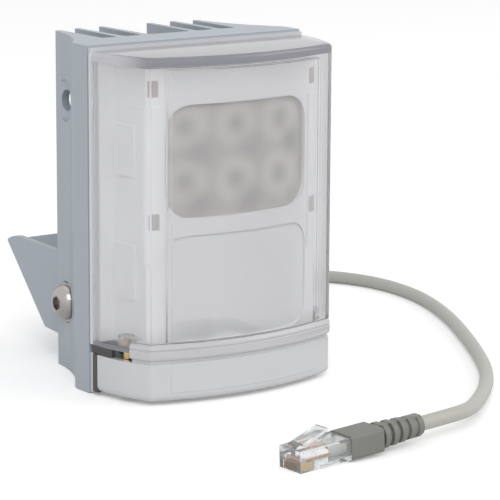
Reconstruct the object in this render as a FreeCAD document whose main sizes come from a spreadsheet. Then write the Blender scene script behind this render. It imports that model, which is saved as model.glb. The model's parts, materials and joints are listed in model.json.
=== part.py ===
"""White light illuminator: a finned housing with a clear moulded front, a tilting bracket and a flying lead.

Lengths are millimetres and angles degrees. The construction frame has X to the right seen from the
front, Y towards the back from the joint between housing and cover, and Z up from the base. Each
sub-part's Placement then moves it so that the origin is the bottom centre of the lamp's own box.
"""
import FreeCAD, Part
import math
import os
import Sketcher
from FreeCAD import Placement, Rotation, Vector

SIZES = [
    ("housing_width", 100.0, "extrusion across the front corners"),
    ("housing_height", 135.0, "cut length of the extrusion"),
    ("plate_depth", 18.0, "solid plate from the cover joint to the bottom of the fin channels"),
    ("flank_depth", 8.0, "straight part of the side behind the front corner"),
    ("shoulder_radius", 7.5, "round between the flank and the hollow side wall"),
    ("shoulder_turn", 37.5, "angle through which the shoulder turns inwards"),
    ("wall_tip_outer", 34.3, "outer edge of the side wall's rear tip from the centre line"),
    ("wall_tip_inner", 31.5, "straight inner face of the side wall from the centre line"),
    ("wall_reach", 48.8, "rear tip of the side wall from the cover joint"),
    ("wall_hollow", 2.7, "depth of the hollow curve of the side wall"),
    ("fin_reach", 50.6, "rear tips of the fins from the cover joint"),
    ("fin_pitch", 11.4, "spacing of the fins"),
    ("fin_root", 3.4, "thickness of a fin at its root"),
    ("fin_tip", 2.4, "thickness of a fin at its tip"),
    ("tip_round", 0.9, "rounding of the fin and wall tips"),
    ("root_round", 1.4, "rounding at the bottom of the channels"),
    ("pivot_depth", 38.3, "bracket screws from the cover joint"),
    ("pivot_height", 27.5, "bracket screws above the base"),
    ("upper_bore_height", 108.5, "spare upper side holes above the base"),
    ("bore_radius", 4.25, "clearance hole in the side wall for the bracket screws"),
    ("spot_radius", 8.3, "spot face round each side hole"),
    ("spot_floor", 35.0, "floor of the spot face from the centre line"),
    ("pocket_half", 37.0, "half width of the driver pocket in the plate"),
    ("pocket_bottom", 13.0, "lower edge of the driver pocket"),
    ("pocket_top", 62.0, "upper edge of the driver pocket"),
    ("pocket_depth", 10.0, "depth of the driver pocket"),
    ("pocket_round", 4.0, "corner radius of the driver pocket"),
    ("tapped_depth", 9.0, "depth of the tapped holes in the plate"),
    ("hole_gap", 0.25, "clearance of a plain screw hole round its screw"),
    ("groove_inset", 1.6, "gasket groove from the edge of the plate"),
    ("groove_width", 2.4, "width of the gasket groove"),
    ("groove_depth", 1.2, "depth of the gasket groove"),
    ("bow_reach", 39.6, "middle of the bowed cover front from the joint"),
    ("corner_half", 42.3, "front edge of the cover from the centre line"),
    ("corner_reach", 31.3, "front edge of the cover from the joint"),
    ("side_curve", 59.7, "radius of the cover's curved sides"),
    ("cover_wall", 2.5, "wall of the clear mouldings"),
    ("cover_top", 133.0, "top of the cover above the base"),
    ("cover_hem", 20.0, "lower edge of the cover's sides above the base"),
    ("edge_round", 1.6, "rounding of the cover's top edge"),
    ("corner_round", 1.2, "rounding of the cover's front edges"),
    ("flange_depth", 2.5, "rear flange of the cover"),
    ("flange_width", 5.2, "width of the flange that covers the gasket"),
    ("flange_drop", 0.7, "flange edge inside the outline of the housing"),
    ("cover_reveal", 1.0, "dark gap between the cover's outer face and the housing"),
    ("plan_tail", 20.0, "how far the mouldings' plan runs past the joint before it is cut off"),
    ("field_half", 34.6, "half width of the raised polished field"),
    ("field_top", 128.2, "top of the raised field"),
    ("field_proud", 0.4, "height of the raised field"),
    ("strip_bottom", 17.5, "lower edge of the retaining strip"),
    ("strip_top", 24.0, "upper edge of the retaining strip"),
    ("strip_back", 23.0, "ends of the retaining strip round the corners, from the joint"),
    ("strip_depth", 4.8, "thickness of the retaining strip, which carries the lens insert"),
    ("panel_bottom", 1.45, "underside of the lower panel above the base"),
    ("panel_top", 16.4, "upper edge of the lower panel"),
    ("panel_round", 3.0, "rounding of the lower panel's bottom edge"),
    ("seal_inset", 0.8, "panel seal inside the outer face of the mouldings"),
    ("seal_width", 2.2, "width of the panel seal"),
    ("lens_gap", 0.3, "clearance of the lens insert behind the cover"),
    ("guide_width", 1.4, "width of the ribs beside the lens insert"),
    ("guide_depth", 3.0, "depth of those ribs behind the cover's wall"),
    ("lens_thickness", 1.5, "thickness of the lens insert"),
    ("bezel_offset", 9.0, "white carrier inside the outer face of the cover"),
    ("bezel_wall", 1.8, "wall of the white carrier"),
    ("bezel_top", 128.0, "top of the white carrier"),
    ("bezel_bottom", 21.0, "lower edge of the white carrier"),
    ("window_width", 64.0, "window in the carrier"),
    ("window_height", 43.6, "height of the window"),
    ("window_centre", 92.2, "middle of the window above the base"),
    ("window_round", 10.0, "corner radius of the window"),
    ("label_width", 65.4, "blank recess below the window"),
    ("label_height", 41.0, "height of the blank recess"),
    ("label_centre", 43.4, "middle of the blank recess above the base"),
    ("label_round", 8.5, "corner radius of the blank recess"),
    ("label_sink", 0.7, "depth of the blank recess"),
    ("slot_spread", 36.0, "small slots from the centre line"),
    ("slot_width", 3.4, "width of a small slot"),
    ("slot_height", 6.3, "height of a small slot"),
    ("slot_upper", 120.6, "upper pair of slots above the base"),
    ("slot_lower", 70.3, "lower pair of slots above the base"),
    ("diffuser_wall", 1.5, "thickness of the frosted pane"),
    ("diffuser_margin", 1.6, "overlap of the frosted pane round the window"),
    ("spreader_depth", 11.0, "heat spreader between plate and light board"),
    ("spreader_half", 34.0, "half width of the heat spreader"),
    ("spreader_height", 50.0, "height of the heat spreader"),
    ("pad_thickness", 0.5, "thermal pad"),
    ("board_thickness", 1.6, "printed boards"),
    ("board_screw_spread", 30.35, "screws of the light board from the centre line"),
    ("board_screw_margin", 3.7, "those screws from the upper and lower edges of the heat spreader"),
    ("optic_pitch", 21.3, "spacing of the lens optics"),
    ("optic_radius", 10.0, "rim radius of a lens optic"),
    ("optic_foot", 5.8, "radius of a lens optic at the board"),
    ("optic_rim", 1.6, "thickness of a lens optic's rim"),
    ("optic_height", 8.8, "height of a lens optic above the board"),
    ("optic_well", 2.8, "radius of the hollow over the emitter"),
    ("optic_dish", 1.0, "depth of the dish in a lens optic's front"),
    ("chip_half", 1.75, "half width of a light emitter"),
    ("chip_height", 0.8, "height of a light emitter"),
    ("driver_half", 34.0, "half width of the driver board"),
    ("driver_bottom", 16.0, "lower edge of the driver board"),
    ("driver_top", 60.0, "upper edge of the driver board"),
    ("driver_plane", 6.0, "driver board in front of the joint"),
    ("standoff_flats", 5.5, "standoffs across flats"),
    ("standoff_stud", 5.0, "threaded end of a standoff"),
    ("standoff_margin", 4.0, "standoffs from the edges of the driver board"),
    ("transformer_half", 9.0, "half width of the transformer core"),
    ("transformer_low", 8.0, "transformer core above the lower edge of the board"),
    ("transformer_height", 18.0, "height of the transformer core"),
    ("transformer_depth", 12.0, "transformer core in front of the board"),
    ("transformer_leg", 4.0, "thickness of the transformer core"),
    ("winding_radius", 4.8, "winding on the transformer"),
    ("isolator_place", 20.5, "network isolator from the centre line"),
    ("isolator_half", 6.5, "half width of the network isolator"),
    ("isolator_height", 18.0, "height of the network isolator"),
    ("isolator_depth", 6.0, "network isolator in front of the board"),
    ("capacitor_place", 20.0, "capacitors from the centre line"),
    ("capacitor_radius", 4.0, "radius of a capacitor"),
    ("capacitor_length", 12.0, "length of a capacitor"),
    ("capacitor_pitch", 9.0, "spacing of the capacitors"),
    ("parts_low", 12.0, "capacitors and isolator above the lower edge of the board"),
    ("terminal_half", 8.0, "half width of the terminal block"),
    ("terminal_height", 8.0, "height of the terminal block"),
    ("terminal_depth", 13.0, "depth of the terminal block behind the board"),
    ("terminal_drop", 8.0, "terminal block below the upper edge of the board"),
    ("core_bundle", 1.5, "radius of the lead's bundled cores"),
    ("core_depth", 3.0, "bundled cores in front of the joint"),
    ("core_bend", 3.4, "bend of the bundled cores"),
    ("core_groove", 4.0, "half width of the groove for the cores"),
    ("core_groove_depth", 6.0, "depth of that groove from the joint"),
    ("wire_radius", 0.8, "wires to the light board"),
    ("wire_spread", 2.0, "wires from the centre line"),
    ("wire_bend", 2.5, "bends of those wires"),
    ("wire_reach", 4.0, "wires in front of the light board"),
    ("wire_end", 2.0, "wire ends from the edges of the boards"),
    ("gland_height", 100.0, "cable gland above the base"),
    ("gland_thread", 6.0, "radius of the gland's thread"),
    ("gland_screwed", 9.0, "length of the gland's thread in the plate"),
    ("gland_flats", 15.0, "gland hexagon across flats"),
    ("gland_flange", 5.0, "length of the gland body's hexagon"),
    ("gland_cap", 11.0, "length of the gland's cap nut"),
    ("gland_neck", 4.0, "threaded neck that the cap nut turns on"),
    ("gland_barrel", 5.5, "radius of that neck"),
    ("gland_crown", 3.0, "tapered end of the cap nut"),
    ("gland_seal_radius", 4.5, "radius of the gland's seal"),
    ("lead_inside", 8.0, "end of the lead's jacket in the plate, from the joint"),
    ("lead_radius", 2.75, "radius of the network lead"),
    ("lead_clearance", 0.05, "running clearance round the lead in the gland"),
    ("lead_passage", 0.5, "clearance round the lead in the plate"),
    ("lead_straight", 14.0, "straight start of the lead at the gland and at the boot"),
    ("bracket_lean", 43.0, "tilt of the bracket from upright as it stands"),
    ("bracket_metal", 2.5, "thickness of the bracket"),
    ("bracket_gap", 0.3, "clearance between bracket arm and side wall"),
    ("web_reach", 31.5, "outer face of the bracket's web from the pivot"),
    ("web_high", 49.0, "upper edge of the web above the pivot"),
    ("arm_end", 17.3, "round end of the arms about the pivot"),
    ("arm_rake_low", 47.5, "slope of the arm's lower edge from the line square to the web"),
    ("arm_rake_high", 45.0, "slope of the arm's upper edge from the line square to the web"),
    ("bend_radius", 4.0, "outer radius of the bracket's bends"),
    ("web_bore", 4.25, "central fixing hole in the web"),
    ("web_hole", 2.75, "side fixing holes in the web"),
    ("web_hole_circle", 40.0, "pitch circle of the side fixing holes"),
    ("screw_radius", 4.0, "bracket screws"),
    ("screw_head", 7.0, "button head radius of the bracket screws"),
    ("screw_head_height", 4.4, "button head height of the bracket screws"),
    ("screw_socket", 5.0, "hexagon socket across flats of the bracket screws"),
    ("screw_clearance", 0.05, "running clearance of the bracket on its screws"),
    ("washer_radius", 8.0, "washers under the bracket screws"),
    ("washer_thickness", 1.6, "thickness of those washers"),
    ("nut_flats", 13.0, "thin pivot nuts across flats"),
    ("nut_thickness", 3.8, "thickness of the pivot nuts"),
    ("cover_screw", 2.0, "radius of the cover screws"),
    ("cover_screw_head", 3.5, "head radius of the cover screws"),
    ("cover_screw_sink", 2.0, "counterbore of the cover screws"),
    ("cover_boss", 4.2, "half width of the bosses for the cover screws"),
    ("cover_boss_depth", 12.0, "depth of the bosses for the cover screws"),
    ("upper_screw_height", 124.5, "upper cover screws above the base"),
    ("lower_screw_height", 9.0, "lower cover screws above the base"),
    ("insert_radius", 2.8, "brass inserts"),
    ("insert_length", 8.0, "length of the brass inserts"),
    ("panel_screw", 1.5, "radius of the small machine screws"),
    ("small_head", 2.75, "head radius of the small machine screws"),
    ("small_head_height", 2.0, "head height of the small machine screws"),
    ("small_insert", 2.1, "radius of the inserts for the panel screws"),
    ("panel_boss", 3.2, "radius of the bosses for the panel screws"),
    ("panel_screw_spread", 43.0, "panel screws from the centre line"),
    ("panel_screw_depth", 17.0, "panel screws in front of the joint"),
    ("thread_gap", 0.02, "gap between a screw and its simplified thread"),
    ("plug_place_x", -50.0, "tip of the plug from the lamp's centre line"),
    ("plug_place_y", -157.7, "tip of the plug in front of the origin"),
    ("plug_heading", 2.0, "direction of the lead away from the plug"),
    ("plug_lift", 3.0, "slope of the plug, whose tip rests on the floor"),
    ("plug_length", 23.0, "clear body of the plug"),
    ("plug_width", 11.7, "width of the plug"),
    ("plug_height", 8.0, "height of the plug body"),
    ("boot_grip", 15.0, "solid part of the boot"),
    ("boot_ribs", 21.0, "ribbed part of the boot"),
    ("boot_height", 9.0, "height of the boot"),
    ("contact_pitch", 1.02, "spacing of the plug's contacts"),
]
BIG = 400.0
CIRCLE = 360.0

doc = FreeCAD.newDocument("WhiteLightIlluminator")
sheet = doc.addObject("Spreadsheet::Sheet", "Sizes")


class Size:
    """A length or angle: its present value, and the expression that keeps it up to date."""

    def __init__(self, value, text):
        self.value = value
        self.text = text

    def __add__(self, other):
        other = sized(other)
        return Size(self.value + other.value, f"({self.text} + {other.text})")

    def __radd__(self, other):
        return sized(other) + self

    def __sub__(self, other):
        other = sized(other)
        return Size(self.value - other.value, f"({self.text} - {other.text})")

    def __rsub__(self, other):
        return sized(other) - self

    def __mul__(self, other):
        other = sized(other)
        return Size(self.value * other.value, f"({self.text} * {other.text})")

    def __rmul__(self, other):
        return sized(other) * self

    def __truediv__(self, other):
        other = sized(other)
        return Size(self.value / other.value, f"({self.text} / {other.text})")

    def __neg__(self):
        return Size(-self.value, f"(0 - {self.text})")


def sized(thing):
    """A Size as it is, or a plain number made into one."""
    if isinstance(thing, Size):
        return thing
    return Size(float(thing), f"({float(thing):.6f})")


def sine(angle):
    return Size(math.sin(math.radians(angle.value)), f"sin({angle.text} * 1 deg)")


def cosine(angle):
    return Size(math.cos(math.radians(angle.value)), f"cos({angle.text} * 1 deg)")


def fill_sheet():
    """Write each driving dimension in a row of its own and give its cell an alias."""
    table = {}
    for row, (name, value, meaning) in enumerate(SIZES, start=1):
        sheet.set(f"A{row}", name)
        sheet.set(f"B{row}", str(value))
        sheet.setAlias(f"B{row}", name)
        sheet.set(f"C{row}", meaning)
        table[name] = Size(value, f"Sizes.{name}")
    doc.recompute()
    return table


S = fill_sheet()
HALF = S["housing_width"] / 2
PROUD_FRONT = S["bow_reach"] + S["field_proud"]
REAR_CORNER = (S["pivot_depth"] + S["web_reach"] * cosine(S["bracket_lean"])
               + S["web_high"] * sine(S["bracket_lean"]))
SHIFT = (PROUD_FRONT - REAR_CORNER) / 2
CHANNEL = S["fin_pitch"] * 1.5

finished = []


def bind(thing, name, size):
    thing.setExpression(name, sized(size).text)


def place(thing, x=0.0, y=0.0, z=0.0):
    for axis, size in zip("xyz", (x, y, z)):
        bind(thing, f"Placement.Base.{axis}", size)


def turn(thing, axis, angle):
    thing.Placement = Placement(Vector(0, 0, 0), Rotation(axis, angle))


AXES = {
    "+X": (Vector(0, 1, 0), 90.0),
    "-X": (Vector(0, 1, 0), -90.0),
    "+Y": (Vector(1, 0, 0), -90.0),
    "-Y": (Vector(1, 0, 0), 90.0),
    "+Z": (Vector(0, 0, 1), 0.0),
    "-Z": (Vector(1, 0, 0), 180.0),
}


def block(name, low, high):
    """A box between two corners."""
    box = doc.addObject("Part::Box", name)
    for prop, start, end in zip(("Length", "Width", "Height"), low, high):
        bind(box, prop, sized(end) - sized(start))
    place(box, *low)
    return box


def rod(name, radius, length, start, axis="+Z"):
    """A round bar that runs from start along an axis."""
    bar = doc.addObject("Part::Cylinder", name)
    bind(bar, "Radius", radius)
    bind(bar, "Height", length)
    turn(bar, *AXES[axis])
    place(bar, *start)
    return bar


def cone(name, radius_start, radius_end, length, start, axis="+Z"):
    """A tapered bar that runs from start along an axis."""
    bar = doc.addObject("Part::Cone", name)
    bind(bar, "Radius1", radius_start)
    bind(bar, "Radius2", radius_end)
    bind(bar, "Height", length)
    turn(bar, *AXES[axis])
    place(bar, *start)
    return bar


def hexagon(name, flats, length, start, axis="+Z"):
    """A six-sided bar, sized across its flats, that runs from start along an axis."""
    bar = doc.addObject("Part::Prism", name)
    bar.Polygon = 6
    bind(bar, "Circumradius", flats / math.sqrt(3.0))
    bind(bar, "Height", length)
    turn(bar, *AXES[axis])
    place(bar, *start)
    return bar


def fuse(name, pieces):
    joined = doc.addObject("Part::MultiFuse", name)
    joined.Shapes = pieces
    return joined


def cut(name, base, tools):
    left = doc.addObject("Part::Cut", name)
    left.Base = base
    left.Tool = tools[0] if len(tools) == 1 else fuse(name + "_tools", tools)
    return left


def common(name, first, second):
    shared = doc.addObject("Part::Common", name)
    shared.Base = first
    shared.Tool = second
    return shared


def group(name, solids):
    """Several separate solids in one object."""
    bundle = doc.addObject("Part::Compound", name)
    bundle.Links = solids
    return bundle


def finish(thing, label):
    """Name a finished sub-part and move it from the construction frame to the lamp's own frame.

    A plain block or rod already has a place of its own, so it is carried inside a group.
    """
    if thing.TypeId in ("Part::Box", "Part::Cylinder"):
        thing.Label = label + "_solid"
        thing = group(label + "_piece", [thing])
    thing.Label = label
    place(thing, 0.0, SHIFT, 0.0)
    finished.append(thing)
    return thing


def draw(sketch, corners):
    """Draw a closed outline whose every corner and radius is tied to the sheet.

    A corner is (x, y) or (x, y, radius). A radius makes the side that follows it an arc, which bends
    to the left of the way the outline runs if it is positive, and to the right if it is negative.
    """
    count = len(corners)
    spots = [Vector(sized(c[0]).value, sized(c[1]).value, 0) for c in corners]
    shapes = []
    for index, corner in enumerate(corners):
        start, end = spots[index], spots[(index + 1) % count]
        if len(corner) == 2:
            shapes.append(Part.LineSegment(start, end))
        else:
            radius = sized(corner[2]).value
            middle = arc_middle(start, end, radius)
            first, last = (start, end) if radius > 0 else (end, start)
            shapes.append(Part.Arc(first, middle, last))
    sketch.addGeometry(shapes, False)
    rules = []
    names = []
    for index, corner in enumerate(corners):
        here = end_at(sketch.Geometry[index], spots[index])
        before = (index - 1) % count
        rules.append(Sketcher.Constraint("Coincident", before, end_at(sketch.Geometry[before], spots[index]),
                                         index, here))
        for kind, size, axis in (("DistanceX", corner[0], -2), ("DistanceY", corner[1], -1)):
            size = sized(size)
            if size.value == 0.0:
                rules.append(Sketcher.Constraint("PointOnObject", index, here, axis))
            else:
                names.append((len(rules), size.text))
                rules.append(Sketcher.Constraint(kind, -1, 1, index, here, size.value))
        if len(corner) == 3:
            radius = sized(corner[2])
            sign = "" if radius.value > 0 else "0 - "
            names.append((len(rules), sign + radius.text))
            rules.append(Sketcher.Constraint("Radius", index, abs(radius.value)))
    sketch.addConstraint(rules)
    for index, text in names:
        sketch.setExpression(f"Constraints[{index}]", text)
    return sketch


def arc_middle(start, end, radius):
    """The middle of the short arc between two points, from its signed radius."""
    chord = end - start
    half = chord.Length / 2
    sagitta = abs(radius) - math.sqrt(max(radius * radius - half * half, 0.0))
    right = Vector(chord.y, -chord.x, 0).normalize()
    side = 1.0 if radius > 0 else -1.0
    return (start + end) * 0.5 + right * (sagitta * side)


def end_at(shape, spot):
    """Which end of a sketch line or arc lies at a point: 1 is its start and 2 its end."""
    return 1 if (shape.StartPoint - spot).Length < (shape.EndPoint - spot).Length else 2


def sketch_flat(name, corners):
    """A free sketch in the plane of the base."""
    return draw(doc.addObject("Sketcher::SketchObject", name), corners)


def extrude(name, outline, bottom, top):
    """A solid of a flat outline between two heights."""
    solid = doc.addObject("Part::Extrusion", name)
    solid.Base = outline
    solid.DirMode = "Custom"
    solid.Dir = Vector(0, 0, 1)
    bind(solid, "LengthFwd", top - bottom)
    solid.Solid = True
    place(solid, 0.0, 0.0, bottom)
    return solid


def plane_of(body, role):
    return next(f for f in body.Origin.OriginFeatures if f.Role == role)


def body_sketch(body, name, role, corners=None, offset=0.0):
    """A sketch on one of a body's own planes, moved along the plane's normal by an offset."""
    sketch = body.newObject("Sketcher::SketchObject", name)
    sketch.AttachmentSupport = [(plane_of(body, role), "")]
    sketch.MapMode = "FlatFace"
    bind(sketch, "AttachmentOffset.Base.z", offset)
    if corners:
        draw(sketch, corners)
    return sketch


def circles(sketch, spots, radius):
    """Full circles of one radius, each with its centre tied to the sheet."""
    for x, y in spots:
        x, y, radius = sized(x), sized(y), sized(radius)
        index = sketch.addGeometry(Part.Circle(Vector(x.value, y.value, 0), Vector(0, 0, 1), radius.value))
        for kind, size, axis in (("DistanceX", x, -2), ("DistanceY", y, -1)):
            if size.value == 0.0:
                sketch.addConstraint(Sketcher.Constraint("PointOnObject", index, 3, axis))
            else:
                rule = sketch.addConstraint(Sketcher.Constraint(kind, -1, 1, index, 3, size.value))
                sketch.setExpression(f"Constraints[{rule}]", size.text)
        rule = sketch.addConstraint(Sketcher.Constraint("Radius", index, radius.value))
        sketch.setExpression(f"Constraints[{rule}]", radius.text)


def pad(body, sketch, name, length):
    feature = body.newObject("PartDesign::Pad", name)
    feature.Profile = sketch
    bind(feature, "Length", length)
    return feature


def pocket(body, sketch, name, length, reverse=False):
    feature = body.newObject("PartDesign::Pocket", name)
    feature.Profile = sketch
    feature.Reversed = reverse
    bind(feature, "Length", length)
    return feature


def mirror(body, features, name):
    """Repeat features on the other side of the lamp's middle plane."""
    feature = body.newObject("PartDesign::Mirrored", name)
    feature.Originals = features
    feature.MirrorPlane = (plane_of(body, "YZ_Plane"), [""])
    body.Tip = feature
    return feature


def edges_where(shape, test):
    """The numbers of a shape's edges whose middle point passes a test."""
    found = []
    for index, edge in enumerate(shape.Edges, start=1):
        middle = edge.valueAt((edge.FirstParameter + edge.LastParameter) / 2)
        if test(edge, middle):
            found.append(index)
    return found


def upright(edge):
    """Whether an edge is a straight line along Z."""
    if edge.Curve.TypeId != "Part::GeomLine":
        return False
    return abs(edge.tangentAt(edge.FirstParameter).z) > 0.999


def round_edges(name, base, radius, test):
    """A free solid with some edges rounded."""
    doc.recompute()
    rounded = doc.addObject("Part::Fillet", name)
    rounded.Base = base
    rounded.Edges = [(index, radius.value, radius.value) for index in edges_where(base.Shape, test)]
    return rounded


def round_body(body, name, radius, test):
    """Round some edges of a body's last feature."""
    doc.recompute()
    last = body.Tip
    rounded = body.newObject("PartDesign::Fillet", name)
    rounded.Base = (last, [f"Edge{index}" for index in edges_where(last.Shape, test)])
    bind(rounded, "Radius", radius)
    return rounded


def mirrored_outline(right_half):
    """Close an outline that is alike on both sides of the Y axis.

    The right half runs from the front to the back, and its arcs keep their bend on the left side.
    """
    corners = list(right_half)
    for index in range(len(right_half) - 1, -1, -1):
        x, y = right_half[index][:2]
        before = right_half[index - 1] if index else ()
        if len(before) == 3:
            corners.append((-x, y, before[2]))
        else:
            corners.append((-x, y))
    return corners


def housing_outline():
    """Cross-section of the extrusion: plate, hollow side walls and four tapered fins."""
    turned = S["shoulder_turn"]
    shoulder_x = HALF - S["shoulder_radius"] * (1 - cosine(turned))
    shoulder_y = S["flank_depth"] + S["shoulder_radius"] * sine(turned)
    tip_y = S["wall_reach"] - 0.5
    across = shoulder_x - S["wall_tip_outer"]
    along = tip_y - shoulder_y
    hollow = S["wall_hollow"]
    hollow_radius = (across * across + along * along) / (8 * hollow) + hollow / 2
    half = [
        (HALF, 0.0),
        (HALF, S["flank_depth"], S["shoulder_radius"]),
        (shoulder_x, shoulder_y, -hollow_radius),
        (S["wall_tip_outer"], tip_y),
        (S["wall_tip_inner"], S["wall_reach"]),
        (S["wall_tip_inner"], S["plate_depth"]),
    ]
    for place_number in (2, 1):
        middle = S["fin_pitch"] * place_number
        half += [
            (middle + S["fin_root"] / 2, S["plate_depth"]),
            (middle + S["fin_tip"] / 2, S["fin_reach"]),
            (middle - S["fin_tip"] / 2, S["fin_reach"]),
            (middle - S["fin_root"] / 2, S["plate_depth"]),
        ]
    return mirrored_outline(half)


def make_housing():
    """Aluminium extrusion, cut to length and machined for screws, bracket, gland and electronics."""
    body = doc.addObject("PartDesign::Body", "housing_extrusion")
    profile = body_sketch(body, "housing_profile", "XY_Plane", housing_outline())
    pad(body, profile, "housing_length", S["housing_height"])
    round_body(body, "channel_rounds", S["root_round"],
               lambda edge, p: upright(edge) and abs(p.y - S["plate_depth"].value) < 0.01)
    round_body(body, "tip_rounds", S["tip_round"],
               lambda edge, p: upright(edge) and p.y > S["wall_reach"].value - 0.6)
    spots = [(S["pivot_depth"], S["pivot_height"]), (S["pivot_depth"], S["upper_bore_height"])]
    faced = body_sketch(body, "spot_faces", "YZ_Plane", offset=S["spot_floor"])
    circles(faced, spots, S["spot_radius"])
    facing = pocket(body, faced, "spot_facing", HALF - S["spot_floor"] + 5, reverse=True)
    bored = body_sketch(body, "side_bores", "YZ_Plane", offset=S["wall_tip_inner"] - 1)
    circles(bored, spots, S["bore_radius"])
    boring = pocket(body, bored, "side_boring", HALF - S["wall_tip_inner"] + 5, reverse=True)
    mirror(body, [facing, boring], "other_side")
    cavity = body_sketch(body, "pocket_outline", "XZ_Plane",
                         rectangle(-S["pocket_half"], S["pocket_bottom"], S["pocket_half"], S["pocket_top"]))
    pocket(body, cavity, "driver_pocket", S["pocket_depth"])
    round_body(body, "pocket_corners", S["pocket_round"], pocket_corner)
    passage = body_sketch(body, "wire_passage", "XZ_Plane")
    circles(passage, [(0.0, S["gland_height"])], S["lead_radius"] + S["lead_passage"])
    pocket(body, passage, "wire_hole", S["plate_depth"] + 1)
    threaded = body_sketch(body, "gland_bore", "XZ_Plane", offset=-S["plate_depth"] - 1)
    circles(threaded, [(0.0, S["gland_height"])], S["gland_thread"])
    pocket(body, threaded, "gland_thread_hole", S["gland_screwed"] + 1, reverse=True)
    screwed = body_sketch(body, "cover_screw_bores", "XZ_Plane")
    circles(screwed, cover_screw_spots(), S["cover_screw"] + S["hole_gap"])
    pocket(body, screwed, "cover_screw_holes", S["plate_depth"] + 1)
    sunk = body_sketch(body, "cover_screw_sinks", "XZ_Plane", offset=-S["plate_depth"] - 1)
    circles(sunk, cover_screw_spots(), S["cover_screw_head"] + S["hole_gap"])
    pocket(body, sunk, "cover_screw_counterbores", S["cover_screw_sink"] + 1, reverse=True)
    tapped = body_sketch(body, "tapped_bores", "XZ_Plane")
    circles(tapped, board_screw_spots(), S["panel_screw"] + S["thread_gap"])
    pocket(body, tapped, "tapped_holes", S["tapped_depth"])
    seats = body_sketch(body, "standoff_bores", "XZ_Plane", offset=-S["pocket_depth"])
    circles(seats, standoff_spots(), S["panel_screw"] + S["thread_gap"])
    pocket(body, seats, "standoff_holes", S["standoff_stud"] + 1)
    groove = body_sketch(body, "gasket_groove", "XZ_Plane", gasket_outline(0.0))
    draw_more(groove, gasket_outline(S["groove_width"]))
    pocket(body, groove, "gasket_channel", S["groove_depth"])
    return finish(body, "housing_extrusion")


def rectangle(left, low, right, high):
    return [(left, low), (right, low), (right, high), (left, high)]


def pocket_corner(edge, middle):
    """The four edges of the driver pocket that run into the plate."""
    if edge.Curve.TypeId != "Part::GeomLine" or abs(edge.tangentAt(edge.FirstParameter).y) < 0.999:
        return False
    return abs(abs(middle.x) - S["pocket_half"].value) < 0.01 and middle.z < S["pocket_top"].value + 0.01


def gasket_outline(inwards):
    """Outline of the gasket groove on the front of the plate, moved inwards for its inner edge."""
    inset = S["groove_inset"] + inwards
    return rectangle(inset - HALF, inset, HALF - inset, S["housing_height"] - inset)


def draw_more(sketch, corners):
    """Add a second closed outline to a sketch."""
    first = len(sketch.Geometry)
    spots = [Vector(sized(x).value, sized(y).value, 0) for x, y in corners]
    count = len(corners)
    sketch.addGeometry([Part.LineSegment(spots[i], spots[(i + 1) % count]) for i in range(count)], False)
    for index, (x, y) in enumerate(corners):
        sketch.addConstraint(Sketcher.Constraint("Coincident", first + (index - 1) % count, 2, first + index, 1))
        for kind, size in (("DistanceX", x), ("DistanceY", y)):
            rule = sketch.addConstraint(Sketcher.Constraint(kind, -1, 1, first + index, 1, size.value))
            sketch.setExpression(f"Constraints[{rule}]", size.text)


def cover_screw_spots():
    heights = (S["lower_screw_height"], S["upper_screw_height"])
    return [(side * CHANNEL, height) for height in heights for side in (-1.0, 1.0)]


def board_screw_spots():
    """Screws that hold the light board and spreader, beyond the optics."""
    reach = S["spreader_height"] / 2 - S["board_screw_margin"]
    return [(side * S["board_screw_spread"], S["window_centre"] + end * reach)
            for side in (-1.0, 1.0) for end in (-1.0, 1.0)]


def standoff_spots():
    margin = S["standoff_margin"]
    return [(side * (S["driver_half"] - margin), height)
            for side in (-1.0, 1.0) for height in (S["driver_bottom"] + margin, S["driver_top"] - margin)]


def cover_plan():
    """Plan outline of the clear mouldings: bowed front, sharp front edges and bulging sides."""
    sag = S["bow_reach"] - S["corner_reach"]
    bow = (S["corner_half"] * S["corner_half"] + sag * sag) / (2 * sag)
    half = [
        (S["corner_half"], -S["corner_reach"], S["side_curve"]),
        (HALF, -S["flange_depth"]),
        (HALF, S["plan_tail"]),
    ]
    corners = mirrored_outline(half)
    corners[-1] = corners[-1][:2] + (bow,)
    return sketch_flat("cover_plan", corners)


PLAN = cover_plan()


def inset_plan(name, inset):
    """The cover's plan outline moved inwards by a distance, or outwards if it is negative."""
    moved = doc.addObject("Part::Offset2D", name)
    moved.Source = PLAN
    bind(moved, "Value", -sized(inset))
    return moved


def slab(name, inset, bottom, top):
    """A full slab of the cover's plan between two heights."""
    outline = inset_plan(name + "_outline", inset)
    return extrude(name, outline, sized(bottom), sized(top))


def ahead(name, back, bottom, top):
    """Everything in front of a plane that lies a distance ahead of the joint."""
    return block(name, (-BIG / 4, -BIG / 4, bottom), (BIG / 4, -sized(back), top))


def layer(name, outer, inner, bottom, top, back=0.0):
    """A wall of the mouldings' plan between two insets, open at the back."""
    ring = cut(name + "_ring", slab(name + "_outer", outer, bottom, top),
               [slab(name + "_inner", inner, bottom - 1, top + 1)])
    return common(name + "_front", ring, ahead(name + "_side", back, bottom - 2, top + 2))


def both_sides(name, builder):
    """The same solid built to the right and to the left."""
    return [builder(f"{name}_{word}", side) for word, side in (("right", 1.0), ("left", -1.0))]


def rounded_bar(name, width, height, radius, start, length):
    """A bar of rounded rectangular section that runs forwards, centred on its start."""
    across, up = width / 2, height / 2
    section = sketch_flat(name + "_section", [
        (radius - across, -up), (across - radius, -up, radius),
        (across, radius - up), (across, up - radius, radius),
        (across - radius, up), (radius - across, up, radius),
        (-across, up - radius), (-across, radius - up, radius),
    ])
    bar = doc.addObject("Part::Extrusion", name)
    bar.Base = section
    bar.DirMode = "Custom"
    bar.Dir = Vector(0, 0, 1)
    bind(bar, "LengthFwd", length)
    bar.Solid = True
    turn(bar, *AXES["-Y"])
    place(bar, *start)
    return bar


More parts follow.
